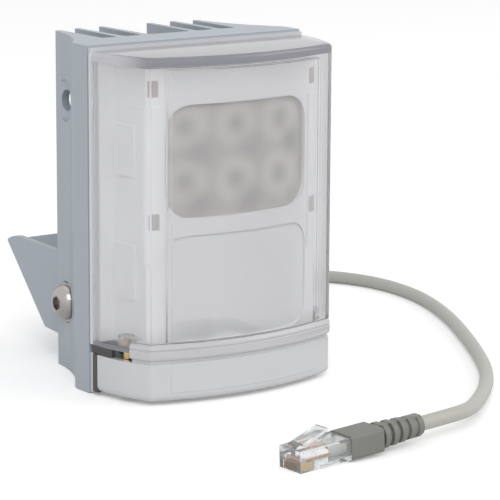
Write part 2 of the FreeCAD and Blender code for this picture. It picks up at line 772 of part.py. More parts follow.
def insert_hole(name, spot_x, spot_z):
    return rod(name, S["insert_radius"] + S["thread_gap"], S["insert_length"] + 1,
               (spot_x, sized(1.0), spot_z), "-Y")


def make_front_cover():
    """Clear cover: bowed shell with a rear flange, polished field, screw bosses and lens guides."""
    wall = S["cover_wall"]
    outer = common("cover_body", slab("cover_outer", 0.0, S["cover_hem"], S["cover_top"]),
                   ahead("cover_body_side", S["cover_reveal"], 0.0, BIG / 2))
    top = S["cover_top"].value
    reach = S["corner_reach"].value
    back = -S["cover_reveal"].value
    outer = round_edges("cover_top_round", outer, S["edge_round"],
                        lambda edge, p: abs(p.z - top) < 0.01 and p.y < back - 0.1)
    outer = round_edges("cover_front_round", outer, S["corner_round"],
                        lambda edge, p: upright(edge) and abs(p.y + reach) < 0.5)
    field = common("cover_field", slab("field_slab", -S["field_proud"], S["strip_top"], S["field_top"]),
                   block("field_span", (-S["field_half"], -BIG / 4, 0.0), (S["field_half"], 0.0, BIG / 2)))
    flange_half = HALF - S["flange_drop"]
    flange = block("cover_flange", (-flange_half, -S["flange_depth"], S["cover_hem"]),
                   (flange_half, 0.0, S["housing_height"] - S["flange_drop"]))
    inner = slab("cover_inner", wall, S["cover_hem"] - 1, S["cover_top"] - wall)
    opening = block("flange_opening", (S["flange_width"] - HALF, -wall * 2, S["cover_hem"] - 1),
                    (HALF - S["flange_width"], 1.0, S["housing_height"] - S["flange_width"]))
    shell = cut("cover_shell", fuse("cover_solid", [outer, field, flange]), [
        common("cover_hollow", inner, ahead("cover_hollow_side", wall, 0.0, BIG / 2)), opening,
        block("strip_notch", (-BIG / 4, -BIG / 4, 0.0), (BIG / 4, -S["strip_back"], S["strip_top"])),
    ])
    boss = S["cover_boss"]
    bosses = both_sides("cover_boss", lambda name, side: block(
        name, (side * CHANNEL - boss, -S["cover_boss_depth"], S["upper_screw_height"] - boss),
        (side * CHANNEL + boss, 0.0, S["cover_top"] - wall + 0.5)))
    panel_bosses = both_sides("insert_boss", lambda name, side: rod(
        name, S["panel_boss"], S["insert_length"] + 1,
        (side * S["panel_screw_spread"], -S["panel_screw_depth"], S["cover_hem"])))
    guides = both_sides("lens_guide", make_guide)
    holes = both_sides("cover_insert_hole", lambda name, side: insert_hole(
        name, side * CHANNEL, S["upper_screw_height"]))
    holes += both_sides("panel_insert_hole", lambda name, side: rod(
        name, S["small_insert"] + S["thread_gap"], S["insert_length"] + 1,
        (side * S["panel_screw_spread"], -S["panel_screw_depth"], S["panel_top"])))
    whole = fuse("cover_whole", [shell] + bosses + panel_bosses + guides)
    return finish(cut("front_cover", whole, holes), "front_cover")


def make_guide(name, side):
    """Rib inside the cover that keeps the lens insert in place at one edge."""
    wall = S["cover_wall"]
    lens_edge = S["field_half"] + S["lens_gap"]
    near, far = side * lens_edge, side * (lens_edge + S["guide_width"])
    low, high = (near, far) if side > 0 else (far, near)
    ring = layer(name + "_ring", wall / 2, wall + S["guide_depth"], S["strip_top"], S["field_top"])
    return common(name, ring, block(name + "_span", (low, -BIG / 4, 0.0), (high, 0.0, BIG / 2)))


def make_lower_panel():
    """Milky bottom cap that closes the lens slot, with a blank front, two bosses and two posts."""
    wall, bottom, top = S["cover_wall"], S["panel_bottom"], S["panel_top"]
    outer = common("panel_front", slab("panel_outer", 0.0, bottom, top),
                   ahead("panel_side", S["cover_reveal"], 0.0, BIG / 4))
    low, back = bottom.value, -S["cover_reveal"].value
    outer = round_edges("panel_bottom_round", outer, S["panel_round"],
                        lambda edge, p: abs(p.z - low) < 0.01 and p.y < back - 0.1)
    flange_half = HALF - S["flange_drop"]
    flange = block("panel_flange", (-flange_half, -S["flange_depth"], S["flange_drop"]),
                   (flange_half, 0.0, top))
    inner = slab("panel_inner", wall, bottom + wall, top + 1)
    opening = block("panel_opening", (S["flange_width"] - HALF, -wall * 2, S["flange_width"]),
                    (HALF - S["flange_width"], 1.0, top + 1))
    shell = cut("panel_shell", fuse("panel_solid", [outer, flange]), [
        common("panel_hollow", inner, ahead("panel_hollow_side", wall, 0.0, BIG / 4)), opening])
    boss = S["cover_boss"]
    bosses = both_sides("panel_boss", lambda name, side: block(
        name, (side * CHANNEL - boss, -S["cover_boss_depth"], bottom + wall - 0.5),
        (side * CHANNEL + boss, 0.0, S["lower_screw_height"] + boss)))
    bosses += both_sides("panel_post", lambda name, side: rod(
        name, S["panel_boss"], top - bottom - 1,
        (side * S["panel_screw_spread"], -S["panel_screw_depth"], bottom + 1)))
    holes = both_sides("panel_insert_bore", lambda name, side: insert_hole(
        name, side * CHANNEL, S["lower_screw_height"]))
    holes += both_sides("panel_screw_bore", lambda name, side: rod(
        name, S["panel_screw"] + S["hole_gap"], S["cover_hem"] + 1,
        (side * S["panel_screw_spread"], -S["panel_screw_depth"], 0.0)))
    holes += both_sides("panel_screw_sink", lambda name, side: rod(
        name, S["small_head"] + S["hole_gap"], bottom + S["small_head_height"],
        (side * S["panel_screw_spread"], -S["panel_screw_depth"], 0.0)))
    return finish(cut("lower_panel", fuse("panel_whole", [shell] + bosses), holes), "lower_panel")


def make_panel_seal():
    """Dark rubber seal between the cover and the lower panel, stepped down under the strip."""
    ring = layer("seal", S["seal_inset"], S["seal_inset"] + S["seal_width"], S["panel_top"], S["cover_hem"])
    rooms = both_sides("seal_post_room", lambda name, side: rod(
        name, S["panel_boss"] + S["hole_gap"], S["cover_hem"],
        (side * S["panel_screw_spread"], -S["panel_screw_depth"], S["panel_bottom"])))
    rooms.append(block("seal_step", (-BIG / 4, -BIG / 4, S["strip_bottom"]), (BIG / 4, -S["strip_back"], BIG / 4)))
    return finish(cut("panel_seal", ring, rooms), "panel_seal")


def make_strip():
    """Rounded strip across the front that holds the lens insert in."""
    bottom, top = S["strip_bottom"], S["strip_top"]
    outer = slab("strip_outer", -S["field_proud"], bottom, top)
    ends, tail = (bottom.value, top.value), S["plan_tail"].value
    outer = round_edges("strip_round", outer, S["edge_round"],
                        lambda edge, p: p.y < tail - 0.1 and min(abs(p.z - end) for end in ends) < 0.01)
    inner = slab("strip_inner", S["strip_depth"] - S["field_proud"], bottom - 1, top + 1)
    front = ahead("strip_side", S["strip_back"], 0.0, BIG / 4)
    return finish(common("retaining_strip", cut("strip_ring", outer, [inner]), front), "retaining_strip")


def make_lens_insert():
    """Clear sheet behind the cover's polished field, slid in from below."""
    face = S["cover_wall"] + S["lens_gap"]
    ring = layer("lens", face, face + S["lens_thickness"], S["strip_top"], S["field_top"])
    span = block("lens_span", (-S["field_half"], -BIG / 4, 0.0), (S["field_half"], 0.0, BIG / 2))
    return finish(common("lens_insert", ring, span), "lens_insert")


def make_bezel():
    """White carrier behind the cover: window, blank recess, four slots and side wings."""
    face, wall = S["bezel_offset"], S["bezel_wall"]
    bottom, top = S["bezel_bottom"], S["bezel_top"]
    outer = slab("bezel_outer", face, bottom, top)
    hollow = slab("bezel_inner", face + wall, bottom - 1, top - wall)
    room = block("boss_room", (-CHANNEL - S["cover_boss"] - 1, -S["cover_boss_depth"] - 1, bottom - 1),
                 (CHANNEL + S["cover_boss"] + 1, 1.0, top + 1))
    openings = [hollow, room, block("bezel_rear", (-BIG / 4, 0.0, 0.0), (BIG / 4, BIG / 4, BIG))]
    through = S["bow_reach"]
    openings.append(rounded_bar("window_bar", S["window_width"], S["window_height"], S["window_round"],
                                (0.0, 0.0, S["window_centre"]), through))
    for word, height in (("upper", S["slot_upper"]), ("lower", S["slot_lower"])):
        openings += both_sides(f"slot_{word}", lambda name, side, height=height: block(
            name, (side * S["slot_spread"] - S["slot_width"] / 2, -through, height - S["slot_height"] / 2),
            (side * S["slot_spread"] + S["slot_width"] / 2, 0.0, height + S["slot_height"] / 2)))
    sunk = cut("label_ring", slab("label_outer", face - 1, bottom, top),
               [slab("label_inner", face + S["label_sink"], bottom - 1, top + 1)])
    openings.append(common("label_recess", sunk, rounded_bar(
        "label_bar", S["label_width"], S["label_height"], S["label_round"],
        (0.0, 0.0, S["label_centre"]), through)))
    return finish(cut("bezel", outer, openings), "bezel")


def make_diffuser():
    """Frosted pane behind the carrier's window."""
    face = S["bezel_offset"] + S["bezel_wall"]
    margin = S["diffuser_margin"]
    ring = layer("diffuser", face, face + S["diffuser_wall"],
                 S["window_centre"] - S["window_height"] / 2 - margin,
                 S["window_centre"] + S["window_height"] / 2 + margin)
    across = S["window_width"] / 2 + margin
    span = block("diffuser_span", (-across, -BIG / 4, 0.0), (across, 0.0, BIG / 2))
    return finish(common("window_diffuser", ring, span), "window_diffuser")


def make_gasket():
    """Silicone gasket in the groove round the plate, pressed by the flange."""
    height = S["housing_height"]
    inset, width = S["groove_inset"], S["groove_width"]
    outer = block("gasket_outer", (inset - HALF, 0.0, inset), (HALF - inset, S["groove_depth"], height - inset))
    inner = block("gasket_inner", (inset + width - HALF, -1.0, inset + width),
                  (HALF - inset - width, S["groove_depth"] + 1, height - inset - width))
    return finish(cut("cover_gasket", outer, [inner]), "cover_gasket")


def light_plate(name, front, back, groove=0.0):
    """A rectangular plate of the light engine, with its screw holes and a groove for the cores."""
    low = S["window_centre"] - S["spreader_height"] / 2
    high = S["window_centre"] + S["spreader_height"] / 2
    solid = block(name + "_blank", (-S["spreader_half"], -front, low), (S["spreader_half"], -back, high))
    tools = [rod(f"{name}_hole_{number}", S["panel_screw"] + S["hole_gap"], front - back + 2,
                 (x, 1 - back, z), "-Y")
             for number, (x, z) in enumerate(board_screw_spots(), start=1)]
    half = S["core_groove"]
    if sized(groove).value > 0:
        tools.append(block(name + "_groove", (-half, -groove, low - 1), (half, 1 - back, S["gland_height"] + half)))
    return finish(cut(name, solid, tools), name)


def light_depths():
    """Fronts of the pad, the spreader and the light board, measured from the joint."""
    pad_front = S["pad_thickness"]
    spreader_front = pad_front + S["spreader_depth"]
    return pad_front, spreader_front, spreader_front + S["board_thickness"]


def optic_spots():
    return [(column * S["optic_pitch"], S["window_centre"] + row * S["optic_pitch"] / 2)
            for row in (1.0, -1.0) for column in (-1.0, 0.0, 1.0)]


def make_light_engine():
    """Thermal pad, heat spreader, light board, emitters and six moulded optics."""
    pad_front, spreader_front, board_front = light_depths()
    light_plate("thermal_pad", pad_front, sized(0.0), S["core_groove_depth"])
    light_plate("heat_spreader", spreader_front, pad_front, S["core_groove_depth"])
    light_plate("light_board", board_front, spreader_front)
    half = S["chip_half"]
    chips = []
    for number, (x, z) in enumerate(optic_spots(), start=1):
        chips.append(block(f"chip_{number}", (x - half, -board_front - S["chip_height"], z - half),
                           (x + half, -board_front, z + half)))
        make_optic(number, x, z, board_front)
    finish(group("light_emitters", chips), "light_emitters")
    length = board_front + S["tapped_depth"] - 2
    screws = [machine_screw(f"light_screw_{number}", (x, -board_front, z), length, "+Y")
              for number, (x, z) in enumerate(board_screw_spots(), start=1)]
    finish(group("light_board_screws", screws), "light_board_screws")


def make_optic(number, x, z, board_front):
    """One collimating optic: a cone that opens to a round rim, hollow over its emitter."""
    name = f"lens_optic_{number}"
    rim, dished, hollow = S["optic_rim"], S["optic_dish"], S["optic_well"]
    cone_length = S["optic_height"] - rim
    funnel = cone(name + "_cone", S["optic_foot"], S["optic_radius"] - rim / 4, cone_length,
                  (x, -board_front, z), "-Y")
    disc = rod(name + "_rim", S["optic_radius"], rim, (x, -board_front - cone_length, z), "-Y")
    well = rod(name + "_well", hollow, S["optic_height"] / 2, (x, -board_front, z), "-Y")
    dish = cone(name + "_dish", hollow, hollow * 2, dished * 2, (x, dished - board_front - S["optic_height"], z), "-Y")
    finish(cut(name, fuse(name + "_body", [funnel, disc]), [well, dish]), name)


def machine_screw(name, start, length, axis):
    """Small screw with a round head; it runs from under its head along an axis."""
    opposite = ("-" if axis[0] == "+" else "+") + axis[1]
    head = rod(name + "_head", S["small_head"], S["small_head_height"], start, opposite)
    shank = rod(name + "_shank", S["panel_screw"], length, start, axis)
    return fuse(name, [head, shank])


def make_driver():
    """Driver board on four standoffs in the pocket, with its components."""
    plane, thick = S["driver_plane"], S["board_thickness"]
    front = plane + thick
    board = block("driver_blank", (-S["driver_half"], -front, S["driver_bottom"]),
                  (S["driver_half"], -plane, S["driver_top"]))
    holes, posts, screws = [], [], []
    for number, (x, z) in enumerate(standoff_spots(), start=1):
        holes.append(rod(f"driver_hole_{number}", S["panel_screw"] + S["hole_gap"], thick + 2,
                         (x, 1 - plane, z), "-Y"))
        stud_length = S["standoff_stud"]
        barrel = hexagon(f"standoff_{number}_barrel", S["standoff_flats"], plane + S["pocket_depth"],
                         (x, -plane, z), "+Y")
        stud = rod(f"standoff_{number}_stud", S["panel_screw"], stud_length + 1,
                   (x, S["pocket_depth"] - 1, z), "+Y")
        bore = rod(f"standoff_{number}_bore", S["panel_screw"] + S["thread_gap"], stud_length + 2,
                   (x, -plane - 1, z), "+Y")
        posts.append(cut(f"standoff_{number}", fuse(f"standoff_{number}_solid", [barrel, stud]), [bore]))
        screws.append(machine_screw(f"driver_screw_{number}", (x, -front, z), thick + stud_length, "+Y"))
    finish(cut("driver_board", board, holes), "driver_board")
    finish(group("driver_standoffs", posts), "driver_standoffs")
    finish(group("driver_board_screws", screws), "driver_board_screws")
    make_transformer(front)
    low, place_x = S["driver_bottom"] + S["parts_low"], S["isolator_place"]
    finish(block("network_isolator", (-place_x - S["isolator_half"], -front - S["isolator_depth"], low),
                 (S["isolator_half"] - place_x, -front, low + S["isolator_height"])), "network_isolator")
    caps = [rod(f"capacitor_{number}", S["capacitor_radius"], S["capacitor_length"],
                (S["capacitor_place"], -front, low + S["capacitor_pitch"] * (number - 1)), "-Y")
            for number in (1, 2)]
    finish(group("capacitors", caps), "capacitors")
    block_top = S["driver_top"] - S["terminal_drop"]
    finish(block("terminal_block", (-S["terminal_half"], -plane, block_top - S["terminal_height"]),
                 (S["terminal_half"], S["terminal_depth"] - plane, block_top)), "terminal_block")


def make_transformer(front):
    """Ferrite core with its winding between the two legs, standing on the driver board."""
    low, leg = S["driver_bottom"] + S["transformer_low"], S["transformer_leg"]
    half, high = S["transformer_half"], low + S["transformer_height"]
    reach = front + S["transformer_depth"]
    finish(fuse("transformer_core", [
        block("transformer_back", (-half, -reach, low), (half, leg - reach, high)),
        block("transformer_low_leg", (-half, -reach, low), (half, -front, low + leg)),
        block("transformer_high_leg", (-half, -reach, high - leg), (half, -front, high))]), "transformer_core")
    finish(rod("transformer_winding", S["winding_radius"], S["transformer_depth"] - leg,
               (0.0, -front, (low + high) / 2), "-Y"), "transformer_winding")


def swept(name, points, radii, radius):
    """A round bar along straight runs joined by tangent arcs."""
    edges = route_edges(points, radii)
    wire = Part.Wire(edges)
    start, along = points[0], (points[1] - points[0]).normalize()
    ring = Part.Wire([Part.Circle(start, along, radius).toShape()])
    bar = doc.addObject("Part::Feature", name)
    bar.Shape = wire.makePipeShell([ring], True, False)
    return bar, wire.Length


def route_edges(points, radii):
    """Lines and arcs through a list of points, with one radius for each inner point."""
    edges = []
    last = points[0]
    for index in range(1, len(points) - 1):
        here = points[index]
        back = (points[index - 1] - here).normalize()
        on = (points[index + 1] - here).normalize()
        turn_angle = math.pi - back.getAngle(on)
        setback = radii[index - 1] * math.tan(turn_angle / 2)
        start, end = here + back * setback, here + on * setback
        bisector = (back + on).normalize()
        centre = here + bisector * (radii[index - 1] / math.cos(turn_angle / 2))
        middle = centre - bisector * radii[index - 1]
        edges.append(Part.LineSegment(last, start).toShape())
        edges.append(Part.Arc(start, middle, end).toShape())
        last = end
    edges.append(Part.LineSegment(last, points[-1]).toShape())
    return edges


def cord_radii(points):
    """Arc radii of a cord: 0.45 of the shorter run over the tangent of half the turn."""
    radii = []
    for index in range(1, len(points) - 1):
        before, after = points[index] - points[index - 1], points[index + 1] - points[index]
        half_turn = before.getAngle(after) / 2
        radii.append(0.45 * min(before.Length, after.Length) / math.tan(half_turn))
    return radii


def make_inner_wires():
    """Cores of the lead inside the housing, and the two wires to the light board."""
    top, depth = S["gland_height"].value, S["core_depth"].value
    low = (S["driver_top"] - S["terminal_drop"]).value
    ends = [Vector(0, S["lead_inside"].value, top), Vector(0, -depth, top), Vector(0, -depth, low)]
    bundle, _ = swept("lead_cores", ends, [S["core_bend"].value], S["core_bundle"].value)
    finish(bundle, "lead_cores")
    front = (S["driver_plane"] + S["board_thickness"]).value
    board_front = light_depths()[2].value
    reach = board_front + S["wire_reach"].value
    high = (S["window_centre"] - S["spreader_height"] / 2 + S["wire_end"]).value
    start = (S["driver_top"] - S["wire_end"]).value
    bend, radius = S["wire_bend"].value, S["wire_radius"].value
    wires = []
    for number, side in enumerate((-1, 1), start=1):
        x = side * S["wire_spread"].value
        route = [Vector(x, -front, start), Vector(x, -reach, start), Vector(x, -reach, high),
                 Vector(x, -board_front, high)]
        wires.append(swept(f"light_wire_{number}", route, [bend, bend], radius)[0])
    finish(group("light_wires", wires), "light_wires")


def make_fasteners():
    """Cover screws from the fin channels, panel screws from below, and their brass inserts."""
    sink, depth = S["cover_screw_sink"], S["plate_depth"]
    screws, inserts = [], []
    gap = S["thread_gap"]
    for number, (x, z) in enumerate(cover_screw_spots(), start=1):
        start = (x, depth - sink, z)
        head = rod(f"cover_screw_{number}_head", S["cover_screw_head"], sized(4.0), start, "+Y")
        socket = hexagon(f"cover_screw_{number}_socket", sized(3.0), sized(3.0), (x, depth - sink + 2, z), "+Y")
        shank = rod(f"cover_screw_{number}_shank", S["cover_screw"],
                    depth - sink + S["insert_length"] - 1, start, "-Y")
        screws.append(cut(f"cover_screw_{number}", fuse(f"cover_screw_{number}_solid", [head, shank]), [socket]))
        outer = rod(f"cover_insert_{number}_outer", S["insert_radius"], S["insert_length"], (x, 0.0, z), "-Y")
        bore = rod(f"cover_insert_{number}_bore", S["cover_screw"] + gap, S["insert_length"] + 2, (x, 1.0, z), "-Y")
        inserts.append(cut(f"cover_insert_{number}", outer, [bore]))
    finish(group("cover_screws", screws), "cover_screws")
    finish(group("cover_inserts", inserts), "cover_inserts")
    inserts = []
    screws = []
    seat = S["panel_bottom"] + S["small_head_height"]
    for word, side in (("right", 1.0), ("left", -1.0)):
        x, y = side * S["panel_screw_spread"], -S["panel_screw_depth"]
        outer = rod(f"panel_insert_{word}_outer", S["small_insert"], S["insert_length"], (x, y, S["panel_top"]))
        bore = rod(f"panel_insert_{word}_bore", S["panel_screw"] + gap, S["insert_length"] + 2,
                   (x, y, S["panel_top"] - 1))
        inserts.append(cut(f"panel_insert_{word}", outer, [bore]))
        screws.append(machine_screw(f"panel_screw_{word}", (x, y, seat),
                                    S["panel_top"] - seat + S["insert_length"] - 1, "+Z"))
    finish(group("panel_inserts", inserts), "panel_inserts")
    finish(group("panel_screws", screws), "panel_screws")


def make_gland():
    """Cable gland in the wide middle channel: body, cap nut, seal and the lead's end inside."""
    face, height = S["plate_depth"], S["gland_height"]
    bore_radius = S["lead_radius"] + S["lead_clearance"]
    flange_end = face + S["gland_flange"]
    barrel, neck = S["gland_barrel"], S["gland_neck"]
    body = fuse("gland_body_solid", [
        rod("gland_body_thread", S["gland_thread"] - S["thread_gap"], S["gland_screwed"], (0.0, face, height), "-Y"),
        hexagon("gland_body_hexagon", S["gland_flats"], S["gland_flange"], (0.0, face, height), "+Y"),
        rod("gland_body_barrel", barrel, neck, (0.0, flange_end, height), "+Y")])
    through = rod("gland_body_bore", bore_radius, S["gland_screwed"] + S["gland_flange"] + neck + 2,
                  (0.0, face - S["gland_screwed"] - 1, height), "+Y")
    finish(cut("gland_body", body, [through]), "gland_body")
    cap_end = flange_end + S["gland_cap"]
    seal_radius, crown = S["gland_seal_radius"], S["gland_crown"]
    seal_length = S["gland_cap"] - neck - crown / 2
    cap = fuse("gland_cap_solid", [
        hexagon("gland_cap_hexagon", S["gland_flats"], S["gland_cap"] - crown, (0.0, flange_end, height), "+Y"),
        cone("gland_cap_crown", S["gland_flats"] / 2, barrel, crown, (0.0, cap_end - crown, height), "+Y")])
    finish(cut("gland_cap", cap, [
        rod("gland_cap_thread", barrel + S["thread_gap"], neck + 1, (0.0, flange_end - 1, height), "+Y"),
        rod("gland_cap_seat", seal_radius, seal_length + 1, (0.0, flange_end + neck - 1, height), "+Y"),
        rod("gland_cap_bore", bore_radius, S["gland_cap"] + 2, (0.0, flange_end - 1, height), "+Y")]), "gland_cap")
    finish(cut("gland_seal", rod("gland_seal_solid", seal_radius, seal_length,
                                 (0.0, flange_end + neck, height), "+Y"), [
        rod("gland_seal_bore", bore_radius, seal_length + 2, (0.0, flange_end + neck - 1, height), "+Y")]),
        "gland_seal")
    inside = S["lead_inside"]
    finish(rod("lead_end", S["lead_radius"], cap_end - inside, (0.0, inside, height), "+Y"), "lead_end")
    return cap_end


def bracket_outline():
    """Side of the bracket's arm in its own frame: pivot at the origin, web upright behind it.

    Both long edges are tangent to the round end, and the crown is tangent to the upper edge and level
    where it meets the web.
    """
    reach, end = S["web_reach"], S["arm_end"]
    low, high = S["arm_rake_low"], S["arm_rake_high"]
    crown = ((reach * sine(high) + end - S["web_high"] * cosine(high)) / (1 - cosine(high)))
    return [
        (end * sine(low), -end * cosine(low)),
        (reach, web_low()),
        (reach, S["web_high"], crown),
        (reach - crown * sine(high), S["web_high"] - crown * (1 - cosine(high))),
        (-end * sine(high), end * cosine(high), end),
        (-end, 0.0, end),
    ]


def web_low():
    """Height of the web's lower edge above the pivot, where the arm's lower edge meets the web."""
    low = S["arm_rake_low"]
    return (S["web_reach"] * sine(low) - S["arm_end"]) / cosine(low)


def make_bracket():
    """U-shaped bracket bent from sheet: two arms on the pivot screws and a drilled web."""
    body = doc.addObject("PartDesign::Body", "u_bracket")
    outside = S["wall_tip_inner"] - S["bracket_gap"]
    inside = outside - S["bracket_metal"]
    web_inside = S["web_reach"] - S["bracket_metal"]
    side = body_sketch(body, "bracket_side", "YZ_Plane", bracket_outline(), offset=-outside)
    pad(body, side, "bracket_block", outside * 2)
    end, top = S["arm_end"] + 1, S["web_high"] + 1
    room = body_sketch(body, "bracket_room", "YZ_Plane", rectangle(-end, -end, web_inside, top), offset=-inside)
    pocket(body, room, "between_arms", inside * 2, reverse=True)
    for name, x, y, radius in (("outer_bends", outside, S["web_reach"], S["bend_radius"]),
                               ("inner_bends", inside, web_inside, S["bend_radius"] - S["bracket_metal"])):
        round_body(body, name, radius, lambda edge, p, x=x, y=y: upright(edge)
                   and abs(abs(p.x) - x.value) < 0.01 and abs(p.y - y.value) < 0.01)
    middle = (web_low() + S["web_high"]) / 2
    centre = body_sketch(body, "web_bores", "XZ_Plane", offset=1 - web_inside)
    circles(centre, [(0.0, middle)], S["web_bore"])
    pocket(body, centre, "web_fixing_hole", S["bracket_metal"] + 2)
    sides = body_sketch(body, "web_side_bores", "XZ_Plane", offset=1 - web_inside)
    spread = S["web_hole_circle"] / 2
    circles(sides, [(-spread, middle), (spread, middle)], S["web_hole"])
    pocket(body, sides, "web_side_holes", S["bracket_metal"] + 2)
    pivot = body_sketch(body, "pivot_bores", "YZ_Plane", offset=-outside - 1)
    circles(pivot, [(0.0, 0.0)], S["screw_radius"] + S["screw_clearance"])
    pocket(body, pivot, "pivot_holes", outside * 2 + 2, reverse=True)
    finish(body, "u_bracket")
    turn(body, Vector(-1, 0, 0), S["bracket_lean"].value)
    place(body, 0.0, S["pivot_depth"] + SHIFT, S["pivot_height"])
    bind(body, "Placement.Rotation.Angle", S["bracket_lean"])


def make_pivots():
    """Button-head screws, washers in the spot faces, and thin nuts inside the arms."""
    depth, height = S["pivot_depth"], S["pivot_height"]
    seat = S["spot_floor"] + S["washer_thickness"]
    arm_inside = S["wall_tip_inner"] - S["bracket_gap"] - S["bracket_metal"]
    screws, washers, nuts = [], [], []
    length = seat - arm_inside + S["nut_thickness"]
    for word, side, axis, inwards in (("right", 1.0, "+X", "-X"), ("left", -1.0, "-X", "+X")):
        screws.append(button_screw(f"pivot_screw_{word}", length, side, (side * seat, depth, height), axis))
        ring = rod(f"washer_{word}_disc", S["washer_radius"], S["washer_thickness"],
                   (side * S["spot_floor"], depth, height), axis)
        hole = rod(f"washer_{word}_hole", S["screw_radius"] + S["hole_gap"], S["washer_thickness"] + 2,
                   (side * (S["spot_floor"] - 1), depth, height), axis)
        washers.append(cut(f"washer_{word}", ring, [hole]))
        solid = hexagon(f"nut_{word}_hexagon", S["nut_flats"], S["nut_thickness"],
                        (side * arm_inside, depth, height), inwards)
        bore = rod(f"nut_{word}_bore", S["screw_radius"] + S["screw_clearance"], S["nut_thickness"] + 2,
                   (side * (arm_inside + 1), depth, height), inwards)
        nuts.append(cut(f"nut_{word}", solid, [bore]))
    finish(group("pivot_screws", screws), "pivot_screws")
    finish(group("pivot_washers", washers), "pivot_washers")
    finish(group("pivot_nuts", nuts), "pivot_nuts")


def button_screw(name, length, side, seat, axis):
    """Turned button-head screw with a hexagon socket, its head outwards."""
    crown = S["screw_head"] * 0.46
    profile = sketch_flat(name + "_profile", [
        (0.0, -length), (S["screw_radius"], -length), (S["screw_radius"], 0.0),
        (S["screw_head"], 0.0), (S["screw_head"], sized(0.6), S["screw_head"] * 0.8),
        (crown, S["screw_head_height"]), (0.0, S["screw_head_height"]),
    ])
    turned = doc.addObject("Part::Revolution", name + "_turned")
    turned.Source = profile
    turned.Axis = Vector(0, 1, 0)
    turned.Angle = CIRCLE
    turned.Solid = True
    turn(turned, Vector(0, 0, 1), -90.0 * side)
    place(turned, *seat)
    x, y, z = seat
    depth = S["screw_head_height"] * 0.6
    socket = hexagon(name + "_socket", S["screw_socket"], depth + 1,
                     (x + side * (S["screw_head_height"] - depth), y, z), axis)
    return cut(name, turned, [socket])


def finish_on_lead(thing, label):
    """Name a piece of the plug and lay it at the end of the lead, its tip on the floor.

    The plug is modelled along X from its tip. It is turned to its heading and lifted at its boot.
    """
    if thing.TypeId in ("Part::Box", "Part::Cylinder"):
        thing.Label = label + "_solid"
        thing = group(label + "_piece", [thing])
    thing.Label = label
    under = (S["boot_height"] - S["plug_height"]) / 2 * cosine(S["plug_lift"])
    spot = f"vector({S['plug_place_x'].text}; {S['plug_place_y'].text}; {(-under).text})"
    turned = f"rotation({S['plug_heading'].text}; {(-S['plug_lift']).text}; 0)"
    thing.setExpression("Placement", f"placement({spot}; {turned})")
    finished.append(thing)


def make_plug():
    """Eight-way network plug: clear body with its sprung latch, contacts, cores and grey boot."""
    length, half, height = S["plug_length"], S["plug_width"] / 2, S["plug_height"]
    middle = S["boot_height"] / 2
    low, high = middle - height / 2, middle + height / 2
    shell = block("plug_shell", (0.0, -half, low), (length, half, high))
    latch_outline = sketch_flat("latch_outline", [
        (0.8, high - 0.5), (3.4, high - 0.5), (15.0, high + 3.9), (14.7, high + 5.0), (2.6, high + 1.2),
        (0.8, high + 0.8)])
    latch = doc.addObject("Part::Extrusion", "latch")
    latch.Base = latch_outline
    latch.DirMode = "Custom"
    latch.Dir = Vector(0, 0, 1)
    bind(latch, "LengthFwd", 6.2)
    latch.Solid = True
    turn(latch, Vector(1, 0, 0), 90.0)
    place(latch, 0.0, 3.1, 0.0)
    cable_room = block("plug_cable_room", (13.0, -half + 1.3, low + 1.2), (length + 1, half - 1.3, high - 1.2))
    core_room = block("plug_core_room", (3.0, -half + 1.2, middle - 0.75), (14.0, half - 1.2, middle + 0.75))
    slots, contacts, cores = [], [], []
    for number in range(8):
        y = (number - 3.5) * S["contact_pitch"]
        slots.append(block(f"contact_slot_{number + 1}", (-1.0, y - 0.25, low - 1), (7.0, y + 0.25, middle - 0.7)))
        contacts.append(block(f"contact_{number + 1}", (0.5, y - 0.2, low + 0.4), (6.6, y + 0.2, middle - 0.75)))
        cores.append(rod(f"core_{number + 1}", sized(0.45), sized(11.0), (3.2, y, middle), "+X"))
    body = cut("plug_body", fuse("plug_solid", [shell, latch]), [cable_room, core_room] + slots)
    finish_on_lead(body, "plug_body")
    finish_on_lead(group("plug_contacts", contacts), "plug_contacts")
    finish_on_lead(group("plug_cores", cores), "plug_cores")
    make_boot(length, middle)
    jacket = rod("plug_jacket", S["lead_radius"], length - 14.5 + S["boot_grip"] + S["boot_ribs"],
                 (14.5, 0.0, middle), "+X")
    finish_on_lead(jacket, "plug_jacket")
    doc.recompute()
    return finished[-1].Placement.multVec(Vector((length + S["boot_grip"] + S["boot_ribs"]).value, 0, middle.value))


def make_boot(start, middle):
    """Soft boot: a solid grip, then ribs on a thin core between an upper and a lower spine."""
    grip, ribs = S["boot_grip"], S["boot_ribs"]
    half = S["plug_width"] / 2 + 0.3
    doc.recompute()
    handle = block("boot_grip_block", (start, -half, 0.0), (start + grip, half, S["boot_height"]))
    handle = round_edges("boot_grip_round", handle, sized(1.4),
                         lambda edge, p: abs(edge.tangentAt(edge.FirstParameter).x) > 0.9)
    pieces = [handle, rod("boot_core", S["lead_radius"] + 0.8, grip / 2 + ribs, (start + grip / 2, 0.0, middle), "+X")]
    count = 5
    step = ribs / count
    for number in range(count):
        inner = start + grip + step * number + step * 0.45
        radius = half - 0.9 - number * 0.32
        disc = rod(f"boot_rib_{number + 1}", radius, step * 0.55, (inner, 0.0, middle), "+X")
        flat = block(f"boot_flat_{number + 1}", (inner - 1, -half, 0.35), (inner + step, half, S["boot_height"] - 0.35))
        pieces.append(common(f"boot_ring_{number + 1}", disc, flat))
    for word, low in (("low", middle - 4.0), ("high", middle + 3.0)):
        pieces.append(block(f"boot_spine_{word}", (start + grip - 0.5, -1.6, low), (start + grip + ribs, 1.6, low + 1.0)))
    bore = rod("boot_bore", S["lead_radius"] + S["lead_clearance"], grip + ribs + 2, (start - 1, 0.0, middle), "+X")
    finish_on_lead(cut("plug_boot", fuse("boot_solid", pieces), [bore]), "plug_boot")


